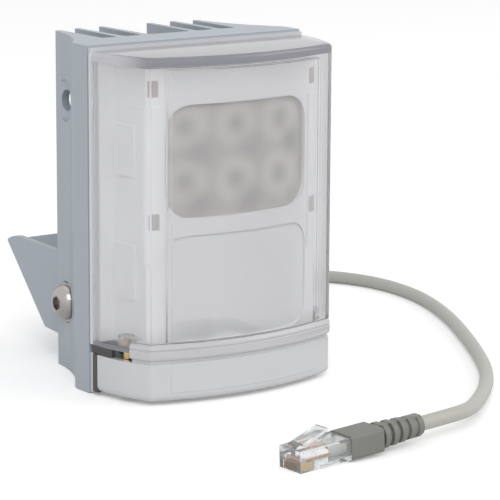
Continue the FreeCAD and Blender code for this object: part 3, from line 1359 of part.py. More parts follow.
LEAD_POINTS = [
    (3.0, 47.0, 96.5),
    (11.0, 66.5, 86.0),
    (24.0, 82.0, 66.0),
    (42.0, 92.5, 42.0),
    (63.0, 99.5, 21.0),
    (87.0, 103.5, 7.0),
    (112.0, 103.5, 2.8),
    (135.0, 98.5, 2.8),
    (152.5, 84.5, 2.8),
    (161.0, 64.5, 2.8),
    (161.5, 40.5, 2.8),
    (155.0, 14.5, 2.8),
    (142.5, -14.0, 2.8),
    (126.5, -43.0, 2.8),
    (110.5, -69.8, 2.8),
    (94.2, -94.4, 2.8),
    (75.0, -116.4, 3.0),
    (53.0, -136.4, 4.6),
    (37.5, -149.9, 6.9),
]


def make_lead(cap_end, boot_end):
    """The lead from the gland's cap, down behind the lamp and round its right side to the boot."""
    exit_point = Vector(0, (cap_end + SHIFT).value, S["gland_height"].value)
    straight = Vector(0, S["lead_straight"].value, 0)
    away = finished[-1].Placement.Rotation.multVec(Vector(S["lead_straight"].value, 0, 0))
    points = [exit_point, exit_point + straight] + [Vector(*p) for p in LEAD_POINTS]
    points += [boot_end + away, boot_end]
    radii = cord_radii(points)
    cable, length = swept("lead_cable", points, radii, S["lead_radius"].value)
    section = math.pi * S["lead_radius"].value ** 2
    ratio = cable.Shape.Volume / (section * length)
    print("lead length", round(length, 1), "volume over section times length", round(ratio, 4))
    print("lead radii", [round(radius, 1) for radius in radii])
    runs = [round((b - a).Length, 1) for a, b in zip(points, points[1:])]
    print("lead runs", runs)
    cable.Label = "lead_cable"
    finished.append(cable)


def build():
    make_housing()
    make_gasket()
    make_front_cover()
    make_lower_panel()
    make_panel_seal()
    make_strip()
    make_lens_insert()
    make_bezel()
    make_diffuser()
    make_light_engine()
    make_driver()
    make_inner_wires()
    make_fasteners()
    cap_end = make_gland()
    make_bracket()
    make_pivots()
    boot_end = make_plug()
    make_lead(cap_end, boot_end)
    doc.recompute()


def check():
    """Stop if any object failed or any sub-part has no valid solid."""
    for thing in doc.Objects:
        if "Invalid" in thing.State or "Error" in thing.State:
            raise RuntimeError(f"{thing.Name} failed: {thing.State}")
    for thing in finished:
        if thing.Shape.isNull() or not thing.Shape.isValid() or not thing.Shape.Solids:
            raise RuntimeError(f"{thing.Label} has no valid solid")


def export():
    os.makedirs("parts", exist_ok=True)
    for thing in finished:
        thing.Shape.exportStep(os.path.join("parts", thing.Label + ".step"))


build()
check()
export()
for item in finished:
    box = item.Shape.BoundBox
    print(f"{item.Label:22s} solids {len(item.Shape.Solids):2d} volume {item.Shape.Volume:10.1f}",
          f"x {box.XMin:7.2f} {box.XMax:7.2f} y {box.YMin:7.2f} {box.YMax:7.2f} z {box.ZMin:7.2f} {box.ZMax:7.2f}")
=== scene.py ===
import json
import math

import bmesh
import bpy
import numpy as np
from mathutils import Matrix, Vector


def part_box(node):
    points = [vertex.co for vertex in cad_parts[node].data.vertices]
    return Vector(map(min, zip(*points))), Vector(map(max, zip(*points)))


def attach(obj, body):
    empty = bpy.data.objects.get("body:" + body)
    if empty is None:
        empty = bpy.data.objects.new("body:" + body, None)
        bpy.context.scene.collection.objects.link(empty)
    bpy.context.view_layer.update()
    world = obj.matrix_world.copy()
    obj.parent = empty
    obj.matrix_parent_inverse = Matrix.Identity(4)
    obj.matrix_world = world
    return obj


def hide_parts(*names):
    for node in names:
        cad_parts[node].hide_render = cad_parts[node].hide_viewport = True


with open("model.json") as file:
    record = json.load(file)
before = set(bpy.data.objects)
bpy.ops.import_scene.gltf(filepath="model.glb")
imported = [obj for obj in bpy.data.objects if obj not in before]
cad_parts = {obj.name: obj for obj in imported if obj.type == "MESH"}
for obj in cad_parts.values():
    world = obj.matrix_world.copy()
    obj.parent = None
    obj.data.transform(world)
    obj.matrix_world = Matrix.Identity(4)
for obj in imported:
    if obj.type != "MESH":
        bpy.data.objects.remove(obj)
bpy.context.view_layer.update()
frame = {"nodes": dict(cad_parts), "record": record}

# Camera: where the photograph was taken from, in metres and degrees
SEEN_FROM = (-0.585419, -0.875142, 0.257781)
YAW = math.radians(35.812)
PITCH = math.radians(11.351)
ROLL = math.radians(0.300)
LENS = 192.25
SENSOR = 36.0

# Main sizes of the lamp, read from the frame
HOUSING_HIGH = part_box("housing_extrusion")[1]
COVER_LOW, COVER_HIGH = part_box("front_cover")
PANEL_LOW, PANEL_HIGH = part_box("lower_panel")
STRIP_LOW, STRIP_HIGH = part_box("retaining_strip")
LENS_LOW, LENS_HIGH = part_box("lens_insert")
PANE_LOW, PANE_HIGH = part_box("window_diffuser")
SEAL_LOW, SEAL_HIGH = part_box("panel_seal")
CARRIER_LOW, CARRIER_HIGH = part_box("bezel")
HALF = HOUSING_HIGH.x
JOINT = COVER_HIGH.y
FIELD_HALF = LENS_HIGH.x
FIELD_TOP = LENS_HIGH.z

# Plan of the bowed mouldings, in metres ahead of the joint with the housing
FIELD_PROUD = 0.0004
BOW_REACH = JOINT - COVER_LOW.y - FIELD_PROUD
CORNER_HALF = 0.0423
CORNER_REACH = 0.0313
CORNER_ROUND = 0.0012
INNER_ROUND = 0.0004
SIDE_RADIUS = 0.0597
STEP_WIDTH = 0.00012
FIELD_POINTS = 24
BEYOND_POINTS = 8
CORNER_POINTS = 9
SIDE_POINTS = 33
BOW_SAG = BOW_REACH - CORNER_REACH
BOW_RADIUS = (CORNER_HALF ** 2 + BOW_SAG ** 2) / (2 * BOW_SAG)
BOW_CENTRE = np.array([0.0, BOW_RADIUS - BOW_REACH])

# Walls, flanges and edges that the mouldings share
WALL = 0.0025
REVEAL = 0.001
FLANGE_DEPTH = 0.0025
FLANGE_WIDTH = 0.0052
FLANGE_DROP = 0.0007
EDGE_ROUND = 0.0016
SHEET_THICK = 0.0015
FINE_EDGE = 0.0001
MOULDED_EDGE = 0.00012
CARRIER_EDGE = 0.00018
SHEET_EDGE = 0.0002

# Cover: heights of its zones, the rows of its wall and its insert bosses
COVER_TOP = 0.133
COVER_HEM = PANEL_HIGH.z + 0.0036
BAND_LOW = COVER_TOP - 0.0035
HEM_TOP = COVER_HEM + 0.0016
WALL_FIRST = STRIP_HIGH.z + 0.004
WALL_LAST = 0.124
WALL_ROWS = 12
BOSS_SPREAD = 0.043
BOSS_DEPTH = 0.017
BOSS_RADIUS = 0.0032
BOSS_BORE = 0.0022
BOSS_HEIGHT = 0.0055
BOSS_HOLLOW = 0.005
HAIR = 0.0001
LOOKS_UP = 0.9
LOOKS_ASIDE = 0.5

# Lower panel, with the line round its front and the tongue that the strip covers
PANEL_BOTTOM = 0.00145
PANEL_BACK = 0.0058
PANEL_ROUND = 0.003
LINE_ABOVE = 0.0006
LINE_SINK = 0.00022
LINE_REACH = 0.0004
TONGUE_INSET = 0.0009
TONGUE_ROOT = 0.0005
TONGUE_RISE = 0.0006

# Strip and seal
STRIP_BACK = 0.023
STRIP_THICK = 0.0048
GROOVE_DROP = 0.0024
GROOVE_DEPTH = 0.0004
GROOVE_HALF = 0.00032
SEAL_END = 0.0138
SEAL_INSET = 0.0008
SEAL_WIDTH = 0.0022
LEG_INSET = 0.004
LEG_CLEAR = 0.0001

# Carrier: its window, label field and slots
CARRIER_INSET = 0.009
CARRIER_WALL = 0.0018
CARRIER_HALF = 0.0384
PANE_MARGIN = 0.0016
WINDOW_ROUND = 0.010
LABEL_HALF = (0.0327, 0.0205)
LABEL_MIDDLE = 0.0434
LABEL_SINK = 0.0007
LABEL_ROUND = 0.0085
SLOT_HALF = (0.0017, 0.00315)
SLOT_SPREAD = 0.0361
SLOT_HEIGHTS = (0.1203, 0.0698)
SLOT_ROUND = 0.0004
FIELD_CORNER_STEPS = 16
SLOT_CORNER_STEPS = 4
FILM_SINK = 0.00015
FILM_PROUD = 0.0001
FILM_THICK = 0.0003

# Carrier: its top, raised plates, side pads and wings, with depths ahead of the joint
TOP_DEPTH = 0.0135
TOP_STEPS = 40
PLATE_PROUD = 0.0005
PLATE_FROM = 0.0338
PLATE_ROUND = 0.0028
PLATE_ROOT = 0.0004
PLATE_DEPTH = 0.0125
PLATE_SPAN = (0.0532, 0.1136)
PAD_PROUD = 1.6 * PLATE_PROUD
PAD_THICK = 2 * PLATE_PROUD
PAD_DEPTHS = (0.0175, 0.006)
PAD_SPANS = ((0.0386, 0.0600), (0.0862, 0.1060))
WING_REACH = 0.0461
WING_TOP = 0.1303
WING_DEPTH = 0.0042
WING_THICK = 0.0012
WING_LAP = 0.001

# Polished insert behind the cover
LENS_GAP = 0.0003

# Painted light and shade of the optics behind the frosted pane, from the optics' places: pale rings are
# painted highlights, darker cores and the gaps between optics are painted shade; (across, up, radius, share)
# of each painted dark gap
OPTIC_COUNT = 6
OPTIC_SHIFT = Vector((-0.0022, 0.0, 0.0026))
RING_RADIUS = 0.0125
RING_HOLE = 0.0085
RING_SHARE = 1.7
CORE_RADIUS = 0.0056
CORE_SHARE = 0.6
PAINTED_SHADE_GAPS = (
    (-0.0165, 0.0010, 0.0100, 0.45),
    (0.0055, 0.0020, 0.0095, 0.4),
    (0.0270, 0.0015, 0.0085, 0.7),
    (-0.0160, -0.0195, 0.0090, 0.5),
    (0.0060, -0.0190, 0.0105, 0.6),
    (0.0280, -0.0200, 0.0060, 0.3),
)
PANE_DARK = (0.35, 0.33, 0.31)
PANE_PALE = (0.46, 0.44, 0.415)
PANE_CLOUDS = 60.0
PAINTED_HIGHLIGHT_RING_TONE = (0.60, 0.58, 0.555)
PAINTED_SHADE_CORE_TONE = (0.27, 0.275, 0.25)
PAINTED_SHADE_GAP_TONE = (0.21, 0.205, 0.20)

# Finishes: heights of the bumps in metres, the painted shade of clear mouldings seen edge on, and how they
# cast shadows
SKIN_BUMP = 0.00005
METAL_BUMP = 0.00003
TAPE_BUMP = 0.0001
EDGE_ON_SHADE_TONE = (0.44, 0.45, 0.50)
EDGE_ON_SHADE_FROM = 0.55
EDGE_ON_SHADE_SHARE = 0.8
CLEAR_SHADE = 0.04
CLEAR_IOR = 1.5

# Studio: floor, background and lamps as (name, place, size, power)
FLOOR_REACH = 6.0
FLOOR_TONE = 0.90
FLOOR_GLOW = 0.25
ROOM_LIGHT = 0.62
ROOM_SEEN = 0.38
LAMPS = (
    ("key", (-1.3, -1.9, 1.9), 1.4, 28.0),
    ("fill", (1.7, -1.2, 1.2), 1.6, 12.0),
    ("top", (0.2, 0.6, 2.4), 1.6, 3.0),
)
LAMPS_AIM = Vector((0.0, 0.0, 0.06))


# Shapes
def side_centre():
    """Centre of the right side's curve: it lies on the square through the middle of its chord."""
    first = np.array([CORNER_HALF, -CORNER_REACH])
    last = np.array([HALF, -FLANGE_DEPTH])
    chord = last - first
    length = np.hypot(*chord)
    inwards = np.array([-chord[1], chord[0]]) / length
    return (first + last) / 2 + inwards * math.sqrt(SIDE_RADIUS ** 2 - (length / 2) ** 2)


def bow_line(x, inset):
    """Y of the bowed front at an inset: its centre less the root of (radius squared less x squared)."""
    return JOINT + BOW_CENTRE[1] - np.sqrt((BOW_RADIUS - inset) ** 2 - np.asarray(x) ** 2)


SIDE_CENTRE = side_centre()
CARRIER_REACH = JOINT - float(bow_line(CARRIER_HALF, CARRIER_INSET))


def clean(mesh, distance=1e-6):
    """Merge doubled points, drop faces without area and turn every face outwards."""
    work = bmesh.new()
    work.from_mesh(mesh)
    bmesh.ops.remove_doubles(work, verts=work.verts, dist=distance)
    bmesh.ops.dissolve_degenerate(work, edges=work.edges, dist=distance)
    bmesh.ops.recalc_face_normals(work, faces=work.faces)
    work.to_mesh(mesh)
    work.free()


def in_scene(name, data):
    """A new object of the scene that holds a mesh, curve, lamp or camera."""
    thing = bpy.data.objects.new(name, data)
    bpy.context.scene.collection.objects.link(thing)
    return thing


def new_piece(name, parts, material, body="housing", sharp=32.0):
    """One piece from several (points, faces) parts, shaded smoothly up to an angle between faces."""
    points, faces, first = [], [], 0
    for part_points, part_faces in parts:
        points += np.asarray(part_points).reshape(-1, 3).tolist()
        faces += [[first + corner for corner in face] for face in part_faces]
        first = len(points)
    mesh = bpy.data.meshes.new(name)
    mesh.from_pydata(points, [], faces)
    clean(mesh)
    mesh.shade_smooth()
    mesh.set_sharp_from_angle(angle=math.radians(sharp))
    mesh.materials.append(material)
    piece = in_scene(name, mesh)
    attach(piece, body)
    return piece


def grid_faces(rows, columns, close_rows=False, close_columns=False):
    """Quads of a grid of points, whose rows or columns may join up with the first."""
    row = np.arange(rows if close_rows else rows - 1)[:, None]
    column = np.arange(columns if close_columns else columns - 1)[None, :]
    below, right = (row + 1) % rows, (column + 1) % columns
    corners = (row * columns + column, row * columns + right,
               below * columns + right, below * columns + column)
    whole = [np.broadcast_to(corner, (row.size, column.size)) for corner in corners]
    return np.stack(whole, -1).reshape(-1, 4).tolist()


def ring_shell(points):
    """A solid from sections: (rows, columns, 3) points whose rows close up, with both ends capped."""
    rows, columns = points.shape[:2]
    faces = grid_faces(rows, columns, close_rows=True)
    faces.append([row * columns for row in range(rows)])
    faces.append([row * columns + columns - 1 for row in range(rows)])
    return points, faces


def soften(piece, width, segments=2, angle=40.0):
    """Small rounding of every sharp edge."""
    bevel = piece.modifiers.new("edge", "BEVEL")
    bevel.width = width
    bevel.segments = segments
    bevel.limit_method = "ANGLE"
    bevel.angle_limit = math.radians(angle)
    bevel.harden_normals = True
    return piece


def plan(inset, back, corner=CORNER_ROUND):
    """Plan of the bowed mouldings for each inset, from the left rear end round the front to the right.

    The front is a circle of radius BOW_RADIUS - inset and each side one of SIDE_RADIUS - inset. The
    rounding between them touches both, so its centre lies a radius less from each centre. A place on
    a circle is centre + radius * (sin turn, -cos turn).
    """
    inset = np.atleast_1d(np.asarray(inset, float))[:, None]
    front, side = BOW_RADIUS - inset, SIDE_RADIUS - inset
    towards = SIDE_CENTRE - BOW_CENTRE
    apart = np.hypot(*towards)
    towards = towards / apart
    along = ((front - corner) ** 2 - (side - corner) ** 2 + apart ** 2) / (2 * apart)
    across = np.sqrt((front - corner) ** 2 - along ** 2)
    centre_x = BOW_CENTRE[0] + towards[0] * along - towards[1] * across
    centre_y = BOW_CENTRE[1] + towards[1] * along + towards[0] * across
    front_turn = np.arctan2(centre_x - BOW_CENTRE[0], BOW_CENTRE[1] - centre_y)
    side_turn = np.arctan2(centre_x - SIDE_CENTRE[0], SIDE_CENTRE[1] - centre_y)
    end_turn = np.arccos((SIDE_CENTRE[1] + back) / side)
    field = np.linspace(0.0, FIELD_HALF - STEP_WIDTH, FIELD_POINTS)
    field = np.concatenate([field, [FIELD_HALF]])[None, :]
    share = np.linspace(0.0, 1.0, BEYOND_POINTS)[None, :]
    beyond = (FIELD_HALF + STEP_WIDTH) + (front * np.sin(front_turn) - FIELD_HALF - STEP_WIDTH) * share
    front_x = np.concatenate([np.broadcast_to(field, (len(inset), field.shape[1])), beyond], 1)
    turn = np.arcsin(front_x / front)
    pieces = [np.stack([front * np.sin(turn), BOW_CENTRE[1] - front * np.cos(turn)], -1)]
    turn = front_turn + (side_turn - front_turn) * np.linspace(0.0, 1.0, CORNER_POINTS)[None, 1:]
    pieces.append(np.stack([centre_x + corner * np.sin(turn), centre_y - corner * np.cos(turn)], -1))
    turn = side_turn + (end_turn - side_turn) * np.linspace(0.0, 1.0, SIDE_POINTS)[None, 1:]
    pieces.append(np.stack([SIDE_CENTRE[0] + side * np.sin(turn), SIDE_CENTRE[1] - side * np.cos(turn)], -1))
    right = np.concatenate(pieces, 1)
    left = right[:, :0:-1] * np.array([-1.0, 1.0])
    whole = np.concatenate([left, right], 1)
    whole[..., 1] += JOINT
    return whole


def carried(insets, heights, back, corner=CORNER_ROUND):
    """A profile of (inset, height) pairs carried along the mouldings' plan: (rows, columns, 3) points."""
    flat = plan(insets, back, corner)
    heights = np.broadcast_to(np.asarray(heights, float)[:, None, None], flat.shape[:2] + (1,))
    return np.concatenate([flat, heights], -1)


def quarter(steps=7):
    """Sines and cosines of a quarter turn, from nothing to one."""
    turn = np.linspace(0.0, math.pi / 2, steps)
    return np.sin(turn), np.cos(turn)


def to_back(row, back):
    """The last row of a flat top: every point moved back to the open rear of the moulding."""
    rear = row.copy()
    rear[..., 1] = JOINT - back
    return rear


def frame_legs(outer, inner, front, back):
    """A flat U-shaped flange: two mitred legs and a bar between an outer and an inner line."""
    outer, inner = np.array(outer), np.array(inner)
    lines = [(outer, front), (outer, back), (inner, back), (inner, front)]
    rows = [np.stack([line[:, 0], np.full(len(line), y), line[:, 1]], -1) for line, y in lines]
    return ring_shell(np.stack(rows))


def lathe(profile, centre, axis, steps=32):
    """A turned shape: (radius, distance along the axis) pairs swung round the axis through a centre."""
    profile = np.asarray(profile, float)
    axis = Vector(axis).normalized()
    side = axis.orthogonal().normalized()
    other = axis.cross(side)
    turn = np.linspace(0.0, 2 * math.pi, steps, endpoint=False)
    ring = np.cos(turn)[:, None] * np.array(side) + np.sin(turn)[:, None] * np.array(other)
    points = (np.array(centre) + profile[:, 1][:, None, None] * np.array(axis)
              + profile[:, 0][:, None, None] * ring[None])
    return points, grid_faces(len(profile), steps, close_rows=True, close_columns=True)


def bowed_sheet(half, front, back, low, high, columns=48):
    """A sheet between two insets of the bow: x runs evenly across, y follows each circle."""
    x = np.linspace(-half, half, columns)[None, :]
    y = bow_line(x, np.array([front, front, back, back])[:, None])
    z = np.broadcast_to(np.array([low, high, high, low])[:, None], y.shape)
    return ring_shell(np.stack([np.broadcast_to(x, y.shape), y, z], -1))


def rounded_outline(half_x, half_z, radius, centre_x, centre_z, steps):
    """Once round a rectangle with round corners, as (x, z) points."""
    turn = np.linspace(0.0, math.pi / 2, steps)
    corners = []
    for number, (side, end) in enumerate(((1, 1), (-1, 1), (-1, -1), (1, -1))):
        angle = turn + number * math.pi / 2
        corners.append(np.stack([side * (half_x - radius) + radius * np.cos(angle),
                                 end * (half_z - radius) + radius * np.sin(angle)], -1))
    return np.concatenate(corners) + np.array([centre_x, centre_z])


def filled(outlines, pitch=0.0016):
    """Flat faces inside the first outline and outside the others, cut into strips along X so they bend."""
    work = bmesh.new()
    edges = []
    for outline in outlines:
        corners = [work.verts.new((x, 0.0, z)) for x, z in outline]
        edges += [work.edges.new((corners[n - 1], corners[n])) for n in range(len(corners))]
    bmesh.ops.triangle_fill(work, use_beauty=True, edges=edges, normal=(0.0, -1.0, 0.0))
    low, high = outlines[0][:, 0].min(), outlines[0][:, 0].max()
    for x in np.arange(low + pitch, high, pitch):
        bmesh.ops.bisect_plane(work, geom=work.verts[:] + work.edges[:] + work.faces[:], dist=1e-7,
                               plane_co=(x, 0.0, 0.0), plane_no=(1.0, 0.0, 0.0))
    work.verts.index_update()
    flat = np.array([vertex.co[:] for vertex in work.verts])
    faces = [[vertex.index for vertex in face.verts] for face in work.faces]
    rim = [[vertex.index for vertex in edge.verts] for edge in work.edges if len(edge.link_faces) == 1]
    work.free()
    return flat, faces, rim


def bent_plate(outlines, inset, wall):
    """A plate with holes, bent to the bow at an inset: a front and a back layer joined round every edge."""
    flat, faces, rim = filled(outlines)
    layers = []
    for depth in (inset, inset + wall):
        layer = flat.copy()
        layer[:, 1] = bow_line(flat[:, 0], depth)
        layers.append(layer)
    count = len(flat)
    faces = faces + [[count + corner for corner in reversed(face)] for face in faces]
    faces += [[first, second, count + second, count + first] for first, second in rim]
    return np.concatenate(layers), faces


def rounded_path(corners, radius, steps=9):
    """A line through (x, y) corners with its inner corners rounded, as points at even shares.

    Each rounding is a curve from start to end, pulled towards the corner between them: start times
    (1 - share) squared, corner times twice share times (1 - share), end times share squared.
    """
    corners = np.asarray(corners, float)
    path = [corners[:1]]
    for before, here, after in zip(corners, corners[1:], corners[2:]):
        back, on = before - here, after - here
        back, on = back / np.hypot(*back), on / np.hypot(*on)
        half = math.acos(float(np.clip(-back @ on, -1, 1))) / 2
        start, end = here + back * radius * math.tan(half), here + on * radius * math.tan(half)
        share = np.linspace(0.0, 1.0, steps)[:, None]
        path.append((1 - share) ** 2 * start + 2 * share * (1 - share) * here + share ** 2 * end)
    path.append(corners[-1:])
    return np.concatenate(path)


def standing_strip(path, thickness, low, high):
    """A wall of even thickness that stands along a path, its thickness to the inside of the lamp."""
    path = np.asarray(path, float)
    along = np.gradient(path, axis=0)
    along /= np.linalg.norm(along, axis=1, keepdims=True)
    aside = np.stack([along[:, 1], -along[:, 0]], -1)
    aside *= np.sign((aside * (np.array([0.0, JOINT]) - path)).sum(-1))[:, None]
    lines = [path, path, path + aside * thickness, path + aside * thickness]
    rows = [np.column_stack([line, np.full(len(line), z)]) for line, z in zip(lines, (low, high, high, low))]
    return ring_shell(np.stack(rows))


# Materials
def joined(tree, node, values):
    """Set a node's inputs, or link those whose value is another node's output. None leaves one alone."""
    for key, value in values.items():
        if isinstance(value, bpy.types.NodeSocket):
            tree.links.new(value, node.inputs[key])
        elif value is not None:
            node.inputs[key].default_value = value
    return node


def object_place(tree):
    """A point's place in the object's own space, in metres."""
    return tree.nodes.new("ShaderNodeTexCoord").outputs["Object"]


def math_node(tree, operation, first, second=None):
    """A number worked out from one or two others."""
    node = tree.nodes.new("ShaderNodeMath")
    node.operation = operation
    return joined(tree, node, {0: first, 1: second}).outputs[0]


def vector_node(tree, operation, first, second=None):
    """A vector worked out from one or two others, or the length of one."""
    node = tree.nodes.new("ShaderNodeVectorMath")
    node.operation = operation
    joined(tree, node, {0: first, 1: second})
    return node.outputs["Value" if operation == "LENGTH" else "Vector"]


def noise_node(tree, vector, scale, detail=3.0):
    """Cloudy noise between nothing and one."""
    node = tree.nodes.new("ShaderNodeTexNoise")
    return joined(tree, node, {"Vector": vector, "Scale": scale, "Detail": detail}).outputs[0]


def mix_colour(tree, share, first, second):
    """The first colour where the share is nothing, the second where it is one."""
    node = tree.nodes.new("ShaderNodeMix")
    node.data_type = "RGBA"
    return joined(tree, node, {0: share, 6: first, 7: second}).outputs[2]


def smooth_share(tree, value, start, end, most=1.0):
    """A smooth step from nothing, where the value is at the start, to the most at the end."""
    node = tree.nodes.new("ShaderNodeMapRange")
    node.interpolation_type = "SMOOTHSTEP"
    joined(tree, node, {"Value": value, "From Min": start, "From Max": end, "To Max": most})
    return node.outputs[0]


def group_tree(name, inputs, outputs):
    """An empty shader node group with its named inputs and outputs."""
    tree = bpy.data.node_groups.new(name, "ShaderNodeTree")
    for label, kind, value in inputs:
        socket = tree.interface.new_socket(label, in_out="INPUT", socket_type=kind)
        socket.default_value = value
    for label, kind in outputs:
        tree.interface.new_socket(label, in_out="OUTPUT", socket_type=kind)
    start = tree.nodes.new("NodeGroupInput")
    end = tree.nodes.new("NodeGroupOutput")
    return tree, start.outputs, end.inputs


def finish_outputs(tree, given, out, clouds, grain):
    """Colour by the clouds, roughness changed by (grain - 0.5) * spread, and the grain as the height."""
    tree.links.new(mix_colour(tree, clouds, given["Color"], given["Shade"]), out["Color"])
    change = math_node(tree, "MULTIPLY", math_node(tree, "SUBTRACT", grain, 0.5), given["Spread"])
    tree.links.new(math_node(tree, "ADD", given["Roughness"], change), out["Roughness"])
    tree.links.new(grain, out["Height"])


FINISH_OUTPUTS = [("Color", "NodeSocketColor"), ("Roughness", "NodeSocketFloat"),
                  ("Height", "NodeSocketFloat")]


def skin_group():
    """Moulded or coated skin: cloudy change of colour, change of gloss, and a fine grain for the bump."""
    tree, given, out = group_tree(
        "skin",
        [("Color", "NodeSocketColor", (0.8, 0.8, 0.8, 1.0)),
         ("Shade", "NodeSocketColor", (0.7, 0.7, 0.7, 1.0)),
         ("Clouds", "NodeSocketFloat", 40.0), ("Grain", "NodeSocketFloat", 1500.0),
         ("Roughness", "NodeSocketFloat", 0.4), ("Spread", "NodeSocketFloat", 0.1)],
        FINISH_OUTPUTS)
    place = object_place(tree)
    clouds = noise_node(tree, place, given["Clouds"])
    finish_outputs(tree, given, out, clouds, noise_node(tree, place, given["Grain"], 2.0))
    return tree


def lines_group():
    """Drawn or turned metal: noise drawn out along one direction, for gloss and a fine bump."""
    tree, given, out = group_tree(
        "drawn_lines",
        [("Stretch", "NodeSocketVector", (1.0, 1.0, 0.02)), ("Scale", "NodeSocketFloat", 4000.0),
         ("Roughness", "NodeSocketFloat", 0.3), ("Spread", "NodeSocketFloat", 0.15),
         ("Color", "NodeSocketColor", (0.6, 0.6, 0.6, 1.0)),
         ("Shade", "NodeSocketColor", (0.5, 0.5, 0.5, 1.0))],
        FINISH_OUTPUTS)
    scaled = vector_node(tree, "MULTIPLY", object_place(tree), given["Stretch"])
    streaks = noise_node(tree, scaled, given["Scale"], 2.0)
    finish_outputs(tree, given, out, streaks, streaks)
    return tree


SKIN = skin_group()
LINES = lines_group()


def new_material(name):
    """A material with its node tree and its Principled shader."""
    material = bpy.data.materials.new(name)
    material.use_nodes = True
    return material, material.node_tree, material.node_tree.nodes["Principled BSDF"]


def placed_group(tree, group, **values):
    """A shader node group placed in a material, with its inputs set."""
    node = tree.nodes.new("ShaderNodeGroup")
    node.node_tree = group
    return joined(tree, node, values)


def bumped(tree, shader, height, strength, distance):
    """Bend the shader's normal by a height."""
    bump = joined(tree, tree.nodes.new("ShaderNodeBump"),
                  {"Strength": strength, "Distance": distance, "Height": height})
    tree.links.new(bump.outputs["Normal"], shader.inputs["Normal"])


def tone(colour, factor=1.0):
    """A colour made darker or lighter by a factor, with full alpha."""
    return (colour[0] * factor, colour[1] * factor, colour[2] * factor, 1.0)


def dressed(name, group, strength, distance, **values):
    """A material whose colour, roughness and bump come from a shader node group, and its shader."""
    material, tree, shader = new_material(name)
    finish = placed_group(tree, group, **values)
    joined(tree, shader, {"Base Color": finish.outputs["Color"], "Roughness": finish.outputs["Roughness"]})
    bumped(tree, shader, finish.outputs["Height"], strength, distance)
    return material, shader


def coated(name, colour, roughness, depth, clouds, grain, strength, coat=0.0):
    """A coated, moulded or painted surface with clouds of tone and a fine grain."""
    material, shader = dressed(name, SKIN, strength, SKIN_BUMP, Color=tone(colour),
                               Shade=tone(colour, depth), Clouds=clouds, Grain=grain,
                               Roughness=roughness, Spread=0.1)
    shader.inputs["Coat Weight"].default_value = coat
    return material


def drawn(name, colour, roughness, stretch):
    """Bare metal with drawn, milled or turned lines."""
    material, shader = dressed(name, LINES, 0.1, METAL_BUMP, Stretch=stretch, Scale=4000.0,
                               Roughness=roughness, Spread=0.15, Color=tone(colour),
                               Shade=tone(colour, 0.85))
    shader.inputs["Metallic"].default_value = 1.0
    return material


def clear(name, colour, roughness, transmission):
    """Clear moulding: it transmits, and lets most of the light of the lamps through to what it covers.

    Where it is seen edge on its colour goes to a grey of painted shade. Its alpha is one, less (1 -
    CLEAR_SHADE) for shadow rays alone.
    """
    material, tree, shader = new_material(name)
    skin = placed_group(tree, SKIN, Color=tone(colour), Shade=tone(colour, 0.97), Clouds=30.0,
                        Grain=120.0, Roughness=roughness, Spread=0.03)
    # Painted shade: the colour goes grey where the moulding is seen edge on
    facing = tree.nodes.new("ShaderNodeLayerWeight")
    facing.inputs["Blend"].default_value = 0.5
    edge = smooth_share(tree, facing.outputs["Facing"], EDGE_ON_SHADE_FROM, 1.0, EDGE_ON_SHADE_SHARE)
    light = tree.nodes.new("ShaderNodeLightPath").outputs["Is Shadow Ray"]
    joined(tree, shader, {
        "Base Color": mix_colour(tree, edge, skin.outputs["Color"], tone(EDGE_ON_SHADE_TONE)),
        "Roughness": skin.outputs["Roughness"],
        "Transmission Weight": transmission,
        "IOR": CLEAR_IOR,
        "Alpha": math_node(tree, "SUBTRACT", 1.0, math_node(tree, "MULTIPLY", light, 1.0 - CLEAR_SHADE)),
    })
    return material


def fade_aside(material, pale, near, far):
    """Let a material's colour go to a paler one between two distances from the lamp's middle plane; it fades
    the painted shade of the cover's top band towards both ends.
    """
    tree = material.node_tree
    shader = tree.nodes["Principled BSDF"]
    split = joined(tree, tree.nodes.new("ShaderNodeSeparateXYZ"), {0: object_place(tree)})
    share = smooth_share(tree, math_node(tree, "ABSOLUTE", split.outputs["X"]), near, far)
    colour = shader.inputs["Base Color"].links[0].from_socket
    tree.links.new(mix_colour(tree, share, colour, tone(pale)), shader.inputs["Base Color"])
    return material


def board(name, colour, trace):
    """Printed board: solder mask with the darker or lighter field of copper under it, in square steps."""
    material, tree, shader = new_material(name)
    turned = joined(tree, tree.nodes.new("ShaderNodeMapping"),
                    {"Vector": object_place(tree), "Rotation": (math.pi / 2, 0.0, 0.0)})
    bricks = joined(tree, tree.nodes.new("ShaderNodeTexBrick"), {
        "Vector": turned.outputs[0], "Scale": 120.0, "Mortar Size": 0.03,
        "Color1": tone(colour), "Color2": tone(colour, 0.92), "Mortar": tone(trace)})
    joined(tree, shader, {"Base Color": bricks.outputs["Color"], "Roughness": 0.35})
    bumped(tree, shader, bricks.outputs["Fac"], 0.2, METAL_BUMP)
    return material


def wound(name, colour, scale):
    """Tape or sleeve wound in turns across Y."""
    material, tree, shader = new_material(name)
    wave = tree.nodes.new("ShaderNodeTexWave")
    wave.bands_direction = "Y"
    joined(tree, wave, {"Vector": object_place(tree), "Scale": scale, "Distortion": 0.4})
    turns = mix_colour(tree, wave.outputs["Fac"], tone(colour, 0.8), tone(colour))
    joined(tree, shader, {"Base Color": turns, "Roughness": 0.35})
    bumped(tree, shader, wave.outputs["Fac"], 0.3, TAPE_BUMP)
    return material


def soft_spot(tree, place, centre, radius):
    """One where a point lies at a centre and nothing at a radius from it, in the X and Z of the front."""
    flat = vector_node(tree, "MULTIPLY", vector_node(tree, "SUBTRACT", place, centre), (1.0, 0.0, 1.0))
    return smooth_share(tree, vector_node(tree, "LENGTH", flat), radius, 0.0)


